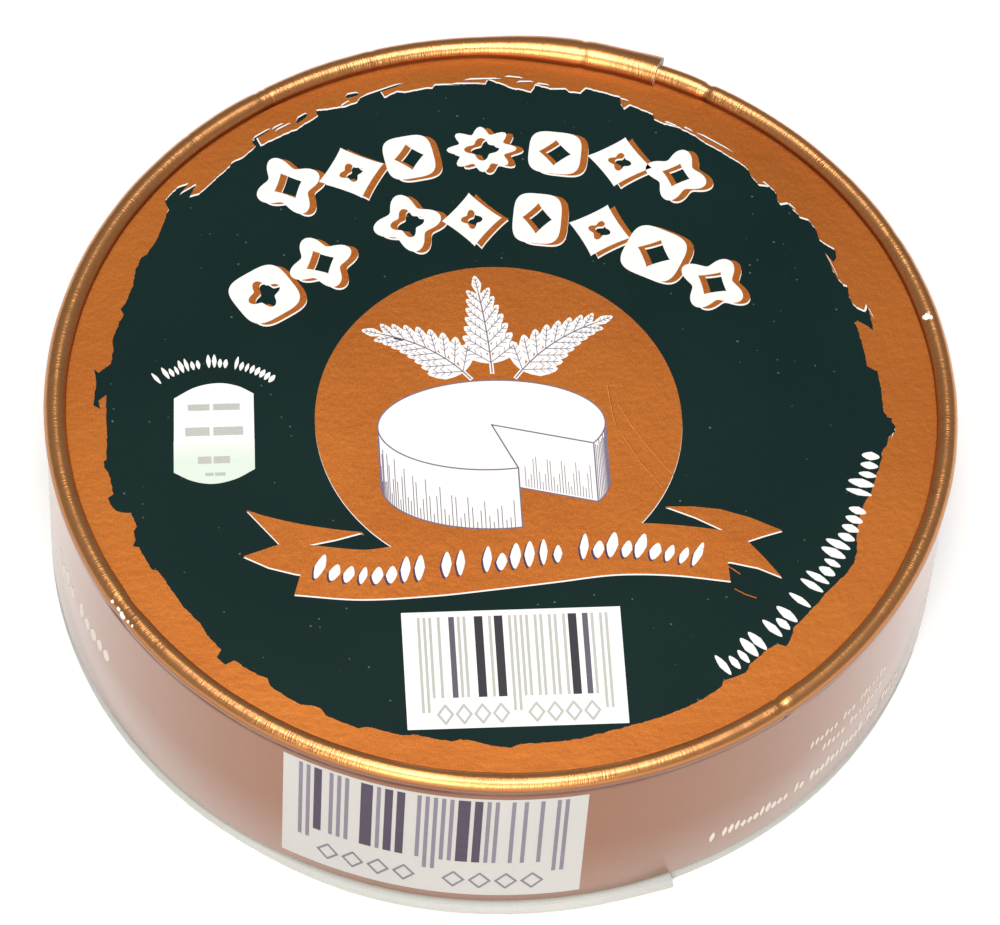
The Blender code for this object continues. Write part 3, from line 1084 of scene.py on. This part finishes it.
def add_ornament(bm, kind, hole_kind, x, y, width, height, tilt, hole):
    """One ornament of this size round a point, with a hole of any kind."""
    width *= ORNAMENT_SHARE
    height *= ORNAMENT_SHARE
    loops = []
    for outline_kind, share in ((kind, 1.0), (hole_kind, hole)):
        made = bmesh.ops.create_circle(bm, cap_ends=False, segments=ORNAMENT_POINTS, radius=1.0)
        for vert in made["verts"]:
            across, along = outline_kind(math.atan2(vert.co.y, vert.co.x))
            vert.co = Vector((across * 0.5 * width * share, along * 0.5 * height * share, 0.0)) * MM
        matrix = Matrix.Translation((x * MM, y * MM, 0.0)) @ Matrix.Rotation(math.radians(tilt), 4, "Z")
        bmesh.ops.transform(bm, matrix=matrix, verts=made["verts"])
        loops.append({edge for vert in made["verts"] for edge in vert.link_edges})
    bmesh.ops.bridge_loops(bm, edges=list(loops[0] | loops[1]))


print("an ornament has", ORNAMENT_POINTS, "points")

# %% [markdown]
# Seven ornaments stand on the upper arc, and eight on the lower one in groups of two and six. Their sizes
# and places keep the weight of the printed heading: tall at both ends, lower in the middle, and tilted to
# follow the arc.

# %% The two arcs of ornaments
HEADING = (
    # kind, hole, x, y, width, height, tilt and the hole's share
    (four_lobes, lozenge, -24.1, 32.0, 9.0, 9.8, 24.0, 0.46),
    (lozenge, four_lobes, -16.3, 33.7, 9.2, 8.6, 17.0, 0.36),
    (soft_square, lozenge, -9.1, 35.8, 6.6, 6.9, 10.0, 0.62),
    (eight_star, four_lobes, -0.1, 36.7, 9.4, 7.4, 0.0, 0.50),
    (soft_square, lozenge, 8.9, 35.9, 7.0, 6.8, -9.0, 0.62),
    (lozenge, four_lobes, 16.8, 34.3, 8.8, 8.2, -15.0, 0.36),
    (four_lobes, lozenge, 23.6, 32.1, 8.4, 8.6, -21.0, 0.46),
    (soft_square, four_lobes, -27.6, 16.2, 8.2, 7.9, 32.0, 0.58),
    (four_lobes, lozenge, -20.6, 20.6, 9.0, 8.6, 27.0, 0.48),
    (four_lobes, four_lobes, -9.8, 26.0, 9.2, 9.3, 12.0, 0.50),
    (lozenge, four_lobes, -1.9, 26.3, 8.0, 8.6, 2.0, 0.36),
    (soft_square, lozenge, 6.1, 26.2, 6.4, 8.0, -8.0, 0.62),
    (lozenge, four_lobes, 13.6, 24.2, 8.4, 8.6, -19.0, 0.36),
    (soft_square, lozenge, 20.0, 20.6, 7.8, 8.0, -28.0, 0.60),
    (four_lobes, lozenge, 26.8, 16.0, 9.2, 8.8, -36.0, 0.48),
)
HEADING_SHIFT = (-0.3, 0.2)
DROP = (0.85, -0.45)


def heading_bmesh(x, y):
    """All ornaments of the heading, moved by millimetres."""
    bm = bmesh.new()
    for kind, hole_kind, place_x, place_y, width, height, tilt, hole in HEADING:
        place_x += HEADING_SHIFT[0]
        place_y += HEADING_SHIFT[1]
        add_ornament(bm, kind, hole_kind, place_x, place_y, width, height, tilt, hole)
    shift_all(bm, x, y)
    return bm


lay_film("heading_white_under_shadow", heading_bmesh(DROP[0], DROP[1]), 3, white_print)
lay_film("heading_copper_shadow", heading_bmesh(DROP[0], DROP[1] + PLATE_SLIP / MM), 4, copper_disc)
lay_film("heading_white", heading_bmesh(0.0, 0.0), 5, white_print)

# %% [markdown]
# The ribbon and the two small arcs carry fine rows of white marks. A row is a run of small leaning leaves
# and dots in groups of uneven length. It needs only a path to follow and a spacing, so one function sets
# them all.

# %% Rows of small marks
def add_mark(bm, x, y, width, height, turn_degrees, slant=0.0):
    """A small pointed leaf, leaning by a share of its height."""
    made = bmesh.ops.create_circle(bm, cap_ends=True, segments=12, radius=1.0)
    for vert in made["verts"]:
        across = vert.co.x * 0.5 * width * (1.0 - 0.35 * abs(vert.co.y))
        along = vert.co.y * 0.5 * height
        vert.co = Vector((across + slant * along, along, 0.0)) * MM
    matrix = Matrix.Translation((x * MM, y * MM, 0.0)) @ Matrix.Rotation(math.radians(turn_degrees), 4, "Z")
    bmesh.ops.transform(bm, matrix=matrix, verts=made["verts"])


def mark_run(groups, seed):
    """Share of the way, kind and size of each mark in a row of groups of marks."""
    random.seed(seed)
    total = sum(groups) + 0.9 * (len(groups) - 1)
    place = 0.5
    marks = []
    for count in groups:
        for index in range(count):
            tall = index == 0 or random.random() < 0.3
            marks.append((place / total, 1.0 if tall else 0.68, random.uniform(0.62, 0.92)))
            place += 1.0
        place += 0.9
    return marks


RIBBON_ROW = (
    (-23.6, -22.3), (-17.3, -23.3), (-11.0, -23.0), (-4.0, -22.2), (1.0, -21.7), (8.0, -20.8),
    (12.8, -20.7), (18.0, -21.4), (22.6, -22.5),
)
RIBBON_MARK_HEIGHT = 3.5
RIBBON_MARK_WIDTH = 1.55
RIBBON_MARK_FOOT = 1.45


def ribbon_marks(x, y):
    """The row of marks on the ribbon, moved by millimetres."""
    bm = bmesh.new()
    for share, size, breadth in mark_run((8, 2, 6, 9), 5):
        place = RIBBON_ROW[0][0] + (RIBBON_ROW[-1][0] - RIBBON_ROW[0][0]) * share
        height = RIBBON_MARK_HEIGHT * size
        middle = smooth_height(RIBBON_ROW, place) - RIBBON_MARK_FOOT + 0.5 * height
        slope = smooth_height(RIBBON_ROW, place + 0.5) - smooth_height(RIBBON_ROW, place - 0.5)
        turn = math.degrees(math.atan(slope))
        add_mark(bm, place, middle, RIBBON_MARK_WIDTH * breadth, height, turn, 0.2)
    shift_all(bm, x, y)
    return bm


lay_film("ribbon_mark_shadows", ribbon_marks(-0.24, -0.22), 5.5, shadow_ink)
lay_film("ribbon_marks", ribbon_marks(0.0, 0.0), 6.5, white_print)


def arc_marks(centre, radius, first, last, groups, seed, height, width, inward=False):
    """A row of marks on an arc from one azimuth to another, with their feet on it, outside it or inside."""
    side = -1.0 if inward else 1.0
    bm = bmesh.new()
    for share, size, breadth in mark_run(groups, seed):
        degrees = first + (last - first) * share
        reach_x, reach_y = polar(degrees, radius + side * 0.5 * height * size)
        add_mark(
            bm, centre[0] + reach_x, centre[1] + reach_y,
            width * breadth, height * size, degrees - side * 90.0,
        )
    return bm


bm = arc_marks((0.0, 0.0), 45.5, -58.5, -11.0, (5, 3, 1, 10, 5), 8, 3.2, 1.35, inward=True)
lay_film("right_arc_marks", bm, 5, white_print)
bm = arc_marks((-34.4, -4.6), 10.6, 128.0, 50.0, (1, 7, 4, 8), 3, 1.9, 0.72)
lay_film("small_arc_marks", bm, 5, white_print)

# %% [markdown]
# At the left is a small upright plaque, white at the top and pale mint at the foot, with soft grey bars. Its
# top and bottom edges bow outwards. At the bottom is a white panel with upright stripes of uneven width,
# like any price panel. Thin stripes print paler than wide ones, so each of the three widths has an ink of
# its own.

# %% The plaque
PLAQUE_TOP = ((-39.2, 1.8), (-36.6, 3.3), (-33.8, 3.8), (-31.5, 3.3), (-29.7, 2.2))
PLAQUE_BOTTOM = ((-39.5, -8.6), (-37.4, -9.8), (-34.9, -10.3), (-32.2, -9.7), (-29.9, -8.4))
PLAQUE_TINT_TOP = ((-39.4, -4.2), (-34.7, -4.2), (-29.8, -4.2))
PLAQUE_BARS = (
    # left, right, height of the middle and thickness
    (-37.6, -31.4, 0.4, 0.9),
    (-38.0, -31.1, -3.0, 1.2),
    (-36.6, -32.8, -7.0, 1.0),
    (-35.8, -33.4, -9.0, 0.45),
)
MINT = (0.70, 0.80, 0.71)
MINT_FROM = -4.2 * MM
MINT_TO = -7.0 * MM


def make_mint():
    """White ink that turns to a pale mint tint towards the plaque's foot."""
    material = make_ink("mint_tint", (0.80, 0.82, 0.80), (0.86, 0.88, 0.86), 0.50, 0.1)
    tree = material.node_tree
    shader = tree.nodes["Principled BSDF"]
    place = tree.nodes.new("ShaderNodeTexCoord")
    parts = tree.nodes.new("ShaderNodeSeparateXYZ")
    tree.links.new(place.outputs["Object"], parts.inputs["Vector"])
    share = range_node(tree, parts.outputs["Y"], MINT_FROM, MINT_TO)
    plain = shader.inputs["Base Color"].links[0].from_socket
    tree.links.new(blend_colours(tree, share, plain, MINT), shader.inputs["Base Color"])
    return material


bm = bmesh.new()
bent_strip(bm, PLAQUE_BOTTOM, PLAQUE_TOP, 24)
lay_film("plaque", bm, 4, white_print)
bm = bmesh.new()
bent_strip(bm, PLAQUE_BOTTOM, PLAQUE_TINT_TOP, 24)
lay_film("plaque_mint_foot", bm, 5, make_mint())


def add_bar(bm, left, right, bottom, top):
    """A plain upright rectangle, in millimetres."""
    made = bmesh.ops.create_grid(bm, x_segments=1, y_segments=1, size=0.5)
    for vert in made["verts"]:
        x = right if vert.co.x > 0.0 else left
        y = top if vert.co.y > 0.0 else bottom
        vert.co = Vector((x, y, 0.0)) * MM


bm = bmesh.new()
for left, right, middle, thickness in PLAQUE_BARS:
    gap = 0.16 * (right - left)
    cut = left + 0.42 * (right - left)
    add_bar(bm, left, cut, middle - 0.5 * thickness, middle + 0.5 * thickness)
    add_bar(bm, cut + 0.4 * gap, right, middle - 0.5 * thickness, middle + 0.5 * thickness)
lay_film("plaque_bars", bm, 6, pale_stripe_ink)

# %% The striped panel on the lid
# left, right, bottom and top in millimetres
PANEL = (-13.6, 12.05, -44.35, -28.75)
STRIPES = (-11.8, 10.5, -40.3, -29.5)
# left, right and height of the middle in millimetres, number and size
DIAMONDS = (-10.2, 9.0, -42.5, 8, 2.0)
GUARD_DROP = 1.9
MODULES = 67


def seeded_stripes(seed):
    """Start, width in modules and length of each stripe in an invented row of 67 modules."""
    random.seed(seed)
    stripes = [(start, 1, True) for start in (0, 2, 32, 34, 64, 66)]
    for first, last in ((4, 31), (36, 63)):
        place = first
        while place < last:
            width = min(random.choice((1, 1, 1, 2, 3)), last - place)
            stripes.append((place, width, False))
            place += width + random.choice((1, 1, 2, 3))
    return stripes


def stripe_bmeshes(left, right, bottom, top, guard_drop, seed):
    """The stripes of a panel by width: thin, middle and wide."""
    module = (right - left) / MODULES
    by_width = [bmesh.new() for width in range(3)]
    for start, width, guard in seeded_stripes(seed):
        foot = bottom - guard_drop if guard else bottom
        add_bar(by_width[width - 1], left + start * module, left + (start + width) * module, foot, top)
    return by_width


def add_line(bm, points, width):
    """A thin strip of constant width along a path."""
    for (x0, y0), (x1, y1) in zip(points, points[1:]):
        length = math.hypot(x1 - x0, y1 - y0)
        if length == 0.0:
            continue
        nx = -(y1 - y0) / length * 0.5 * width
        ny = (x1 - x0) / length * 0.5 * width
        ex = (x1 - x0) / length * 0.3 * width
        ey = (y1 - y0) / length * 0.3 * width
        add_shape(bm, (
            (x0 + nx - ex, y0 + ny - ey), (x1 + nx + ex, y1 + ny + ey),
            (x1 - nx + ex, y1 - ny + ey), (x0 - nx - ex, y0 - ny - ey),
        ))


def row_of_diamonds(bm, left, right, middle, count, size):
    """Small open diamonds in two groups, where a number would stand."""
    for index in range(count):
        share = (index + 0.5 + (0.9 if index >= count // 2 else 0.0)) / (count + 0.9)
        x = left + (right - left) * share
        corners = [
            (x - 0.42 * size, middle), (x, middle - 0.6 * size),
            (x + 0.42 * size, middle), (x, middle + 0.6 * size),
        ]
        add_line(bm, corners + [corners[0]], 0.30)


bm = bmesh.new()
add_bar(bm, *PANEL)
lay_film("panel", bm, 4, white_print)
thin, middle, wide = stripe_bmeshes(*STRIPES, GUARD_DROP, 4)
row_of_diamonds(thin, *DIAMONDS)
part_heights(thin)
lay_film("panel_wide_stripes", wide, 5, stripe_ink)
lay_film("panel_middle_stripes", middle, 5, middle_stripe_ink)
lay_film("panel_thin_stripes", thin, 5, pale_stripe_ink)

# %% [markdown]
# The picture in the badge is a plain white drawing of a cut round cheese under three herb sprigs. White
# shapes come first, and fine lines of grey violet ink shade them like an engraving. The wheel is an oval,
# its side is a strip between two curves, and the missing wedge is two straight faces that meet at the
# wheel's middle.

# %% The cheese wheel in the badge
OUTLINE_WIDTH = 0.17
HATCH_WIDTH = 0.10
WHEEL = (-1.5, -3.2)
WHEEL_REACH = (13.6, 6.3)
WHEEL_SIDE = 8.2
CUT_FROM = -78.0
CUT_TO = -28.0


def wheel_point(degrees, share=1.0, drop=0.0):
    """A point on the wheel's top, at a share of the way out from its middle, or lower down its side."""
    x = WHEEL[0] + WHEEL_REACH[0] * share * math.cos(math.radians(degrees))
    y = WHEEL[1] + WHEEL_REACH[1] * share * math.sin(math.radians(degrees)) - drop
    return x, y


def wheel_arc(first, last, drop=0.0, steps=24):
    """Points along the wheel's edge from one angle to another."""
    return [wheel_point(first + (last - first) * step / steps, 1.0, drop) for step in range(steps + 1)]


def wheel_top():
    """The wheel's top with the wedge left out."""
    return wheel_arc(CUT_TO, CUT_FROM + 360.0, steps=72) + [WHEEL]


def wheel_sides():
    """The outside of the wheel left and right of the cut, and the cut face in view between them."""
    left = wheel_arc(-180.0, CUT_FROM) + wheel_arc(CUT_FROM, -180.0, drop=WHEEL_SIDE)
    right = wheel_arc(CUT_TO, 0.0) + wheel_arc(0.0, CUT_TO, drop=WHEEL_SIDE)
    corner = wheel_point(CUT_FROM)
    end = wheel_point(CUT_TO, drop=WHEEL_SIDE)
    floor = (WHEEL[0], WHEEL[1] - WHEEL_SIDE)
    share = (corner[0] - floor[0]) / (end[0] - floor[0])
    foot = (corner[0], floor[1] + (end[1] - floor[1]) * share)
    far = [WHEEL, wheel_point(CUT_TO), end, foot, corner]
    return left, right, far


white = bmesh.new()
lines = bmesh.new()
add_shape(white, wheel_top())
for side in wheel_sides():
    add_shape(white, side)
    add_line(lines, side + [side[0]], OUTLINE_WIDTH)
add_line(lines, wheel_top() + [wheel_top()[0]], OUTLINE_WIDTH)
for step in range(46):
    degrees = -176.0 + step * 2.1
    if degrees < CUT_FROM - 1.0:
        uneven = 0.55 + 0.35 * math.sin(step * 1.7)
        reach = WHEEL_SIDE * uneven * (0.45 + 0.55 * abs(math.cos(math.radians(degrees))))
        high = wheel_point(degrees, drop=WHEEL_SIDE - reach)
        add_line(lines, (high, wheel_point(degrees, drop=WHEEL_SIDE)), HATCH_WIDTH)
for step in range(12):
    degrees = CUT_TO + 2.0 + step * 2.2
    high = wheel_point(degrees, drop=0.4 + 0.5 * math.sin(step * 2.3))
    add_line(lines, (high, wheel_point(degrees, drop=WHEEL_SIDE)), HATCH_WIDTH)
for step in range(24):
    share = 0.30 + 0.028 * step
    low = wheel_point(CUT_TO, share, WHEEL_SIDE - 0.3)
    high = wheel_point(CUT_TO, share, WHEEL_SIDE * (0.62 + 0.22 * math.sin(step * 1.3)))
    add_line(lines, (low, high), 0.08)
print("wheel", 2 * WHEEL_REACH[0], "mm across")

# %% [markdown]
# A sprig is a curved stem with pairs of pointed leaves that get smaller towards its tip. Each leaf is the
# same small mark as on the ribbon, turned away from the stem, with lines for its veins.

# %% The herb sprigs over the wheel
SPRIGS = (
    # foot x and y, direction in degrees, length, bend in degrees and leaf pairs
    (-1.0, 4.2, 92.0, 11.5, 6.0, 7),
    (-3.6, 3.4, 130.0, 12.5, 34.0, 8),
    (1.8, 3.4, 52.0, 12.5, -30.0, 8),
)
LOWEST_LEAF = 4.3
LEAF_SHRINK = 2.1
TIP_LEAF = 2.6
LEAF_BREADTH = 0.46
LEAF_SPREAD = 52.0
VEIN_ANGLE = 0.75


def add_leaf(white, lines, x, y, direction, length):
    """One leaf that starts at a point and lies in a direction."""
    angle = math.radians(direction)
    middle_x = x + 0.5 * length * math.cos(angle)
    middle_y = y + 0.5 * length * math.sin(angle)
    add_mark(white, middle_x, middle_y, LEAF_BREADTH * length, length, direction - 90.0)
    tip = (x + 0.86 * length * math.cos(angle), y + 0.86 * length * math.sin(angle))
    add_line(lines, ((x, y), tip), HATCH_WIDTH)
    for side in (-1.0, 1.0):
        for share in (0.3, 0.5, 0.7):
            start = (x + share * length * math.cos(angle), y + share * length * math.sin(angle))
            vein = angle + side * VEIN_ANGLE
            end = (start[0] + 0.17 * length * math.cos(vein), start[1] + 0.17 * length * math.sin(vein))
            add_line(lines, (start, end), 0.07)


def add_sprig(white, lines, x, y, direction, length, bend, pairs):
    """A stem with leaves on both sides and one at its tip."""
    stem = [(x, y)]
    for step in range(pairs + 1):
        angle = math.radians(direction + bend * step / pairs)
        x += length / (pairs + 1) * math.cos(angle)
        y += length / (pairs + 1) * math.sin(angle)
        stem.append((x, y))
        size = LOWEST_LEAF - LEAF_SHRINK * step / pairs
        if step < pairs:
            for side in (-1.0, 1.0):
                away = side * (LEAF_SPREAD - 3.0 * step)
                add_leaf(white, lines, x, y, math.degrees(angle) + away, size)
    add_leaf(white, lines, x, y, direction + bend, TIP_LEAF)
    add_line(white, stem, 0.5)
    add_line(lines, stem, 0.16)


for sprig in SPRIGS:
    add_sprig(white, lines, *sprig)
part_heights(white)
part_heights(lines)
lay_film("badge_picture_white", white, 5, white_print)
lay_film("badge_picture_lines", lines, 6, hatch_ink)

# %% [markdown]
# Handling has left its marks on the print. A few creases in the badge are drawn as fine bright lines, a
# painted highlight, each with a darker line beside it, a painted shade. Further out the green ink is
# scratched, and the copper shows there.

# %% Creases and scratches
CREASES = (
    # points along each crease, in millimetres
    ((12.7, 1.9), (12.9, -0.6), (13.1, -2.6), (13.4, -4.1)),
    ((13.7, -0.5), (15.2, -3.9), (17.3, -7.6), (19.6, -10.9)),
    ((14.1, -5.4), (16.0, -9.3), (18.3, -12.7)),
)
SCRATCHES = (
    ((20.7, -18.6), (22.4, -20.3), (24.3, -21.8)),
    ((22.4, -21.3), (24.5, -23.2), (26.5, -24.9)),
    ((25.6, -24.1), (26.5, -24.9)),
    ((25.7, -26.9), (26.9, -27.7), (28.1, -28.2)),
)


def paths_bmesh(paths, width, x, y):
    """Thin strips along several paths, moved by millimetres."""
    bm = bmesh.new()
    for path in paths:
        add_line(bm, path, width)
    part_heights(bm)
    shift_all(bm, x, y)
    return bm


# Bright and dark copper for the creases: painted highlight and painted shade.
CREASE_HIGHLIGHT_TONES = ((0.80, 0.30, 0.075), (0.90, 0.36, 0.10))
CREASE_SHADE_TONES = ((0.42, 0.11, 0.018), (0.50, 0.14, 0.024))
crease_highlight_copper = make_copper("crease_painted_highlight", 0.5, *CREASE_HIGHLIGHT_TONES, 0.46, 0.15, 0.30)[0]
crease_shade_copper = make_copper("crease_painted_shade", 0.5, *CREASE_SHADE_TONES, 0.46, 0.15, 0.30)[0]
lay_film("crease_shades", paths_bmesh(CREASES, 0.14, 0.10, -0.06), 6.5, crease_shade_copper)
lay_film("crease_lights", paths_bmesh(CREASES, 0.11, 0.0, 0.0), 7.5, crease_highlight_copper)
lay_film("scratches", paths_bmesh(SCRATCHES, 0.13, 0.0, 0.0), 7.5, copper_disc)

# %% [markdown]
# The skirt has print of its own: a second striped panel at the front, whose stripes take two inks, and rows
# of pale marks at both sides. They are drawn flat, with x along the skirt and y up it, and then wrapped
# round it. The wrap needs enough points along x, so every flat shape is cut across at short steps before it
# is bent.

# %% Wrapping print round the skirt
WRAP_STEP = 0.8
SKIRT_FILM = 0.03 * MM


def wrap_on_skirt(name, bm, middle_azimuth, level, material):
    """Cut flat shapes across at short steps, thicken them and bend them round the skirt."""
    xs = [vert.co.x / MM for vert in bm.verts]
    place = math.ceil(min(xs) / WRAP_STEP) * WRAP_STEP
    while place < max(xs):
        geometry = bm.verts[:] + bm.edges[:] + bm.faces[:]
        cut = Vector((place * MM, 0.0, 0.0))
        bmesh.ops.bisect_plane(bm, geom=geometry, dist=1e-9, plane_co=cut, plane_no=(1.0, 0.0, 0.0))
        place += WRAP_STEP
    for face in bm.faces:
        if face.normal.z < 0.0:
            face.normal_flip()
    grown = bmesh.ops.extrude_face_region(bm, geom=bm.faces[:], use_keep_orig=True)
    top = [item for item in grown["geom"] if isinstance(item, bmesh.types.BMVert)]
    bmesh.ops.translate(bm, verts=top, vec=(0.0, 0.0, 1.0))
    for vert in bm.verts:
        depth = level * SKIRT_FILM if vert.co.z > 0.5 else -SKIRT_FILM
        azimuth = math.radians(middle_azimuth) + vert.co.x / OUTER_RADIUS
        height = vert.co.y
        radius = skirt_radius(azimuth, height) + depth
        vert.co = (radius * math.cos(azimuth), radius * math.sin(azimuth), height)
    bmesh.ops.recalc_face_normals(bm, faces=bm.faces)
    return finish_piece(name, bm, (material,))


SIDE_PANEL_AZIMUTH = -101.95
SIDE_PANEL = (-18.35, 18.35, 4.8, 28.2)
SIDE_STRIPES = (-16.3, 16.1, 12.9, 27.6)
SIDE_DIAMONDS = (-14.0, 14.0, 8.4, 8, 2.9)
SIDE_GUARD_DROP = 2.4
bm = bmesh.new()
add_bar(bm, *SIDE_PANEL)
wrap_on_skirt("side_panel", bm, SIDE_PANEL_AZIMUTH, 1, shaded_side_white)
thin, middle, wide = stripe_bmeshes(*SIDE_STRIPES, SIDE_GUARD_DROP, 9)
row_of_diamonds(thin, *SIDE_DIAMONDS)
part_heights(thin)
wrap_on_skirt("side_panel_wide_stripes", wide, SIDE_PANEL_AZIMUTH, 2, violet_stripe_ink)
wrap_on_skirt("side_panel_middle_stripes", middle, SIDE_PANEL_AZIMUTH, 2, violet_stripe_ink)
wrap_on_skirt("side_panel_thin_stripes", thin, SIDE_PANEL_AZIMUTH, 2, pale_violet_ink)

# %% Pale rows on the skirt
SKIRT_ROWS = (
    # azimuth of the middle in degrees, length, height, tallness and groups of marks
    (-47.0, 34.0, 7.0, 2.2, (1, 11, 2, 11, 3, 5)),
    (-42.0, 15.0, 15.6, 1.7, (6, 3, 7)),
    (-41.0, 12.0, 12.2, 1.7, (5, 8)),
    (-160.0, 16.0, 14.5, 4.2, (4, 5)),
)
for number, (azimuth, length, height, tallness, groups) in enumerate(SKIRT_ROWS):
    bm = bmesh.new()
    for share, size, breadth in mark_run(groups, 30 + number):
        tall = tallness * size
        add_mark(bm, length * (share - 0.5), height + 0.5 * tall, 0.42 * tallness * breadth, tall, 0.0, 0.12)
    wrap_on_skirt("skirt_row_" + str(number + 1), bm, azimuth, 1, pale_line_ink)
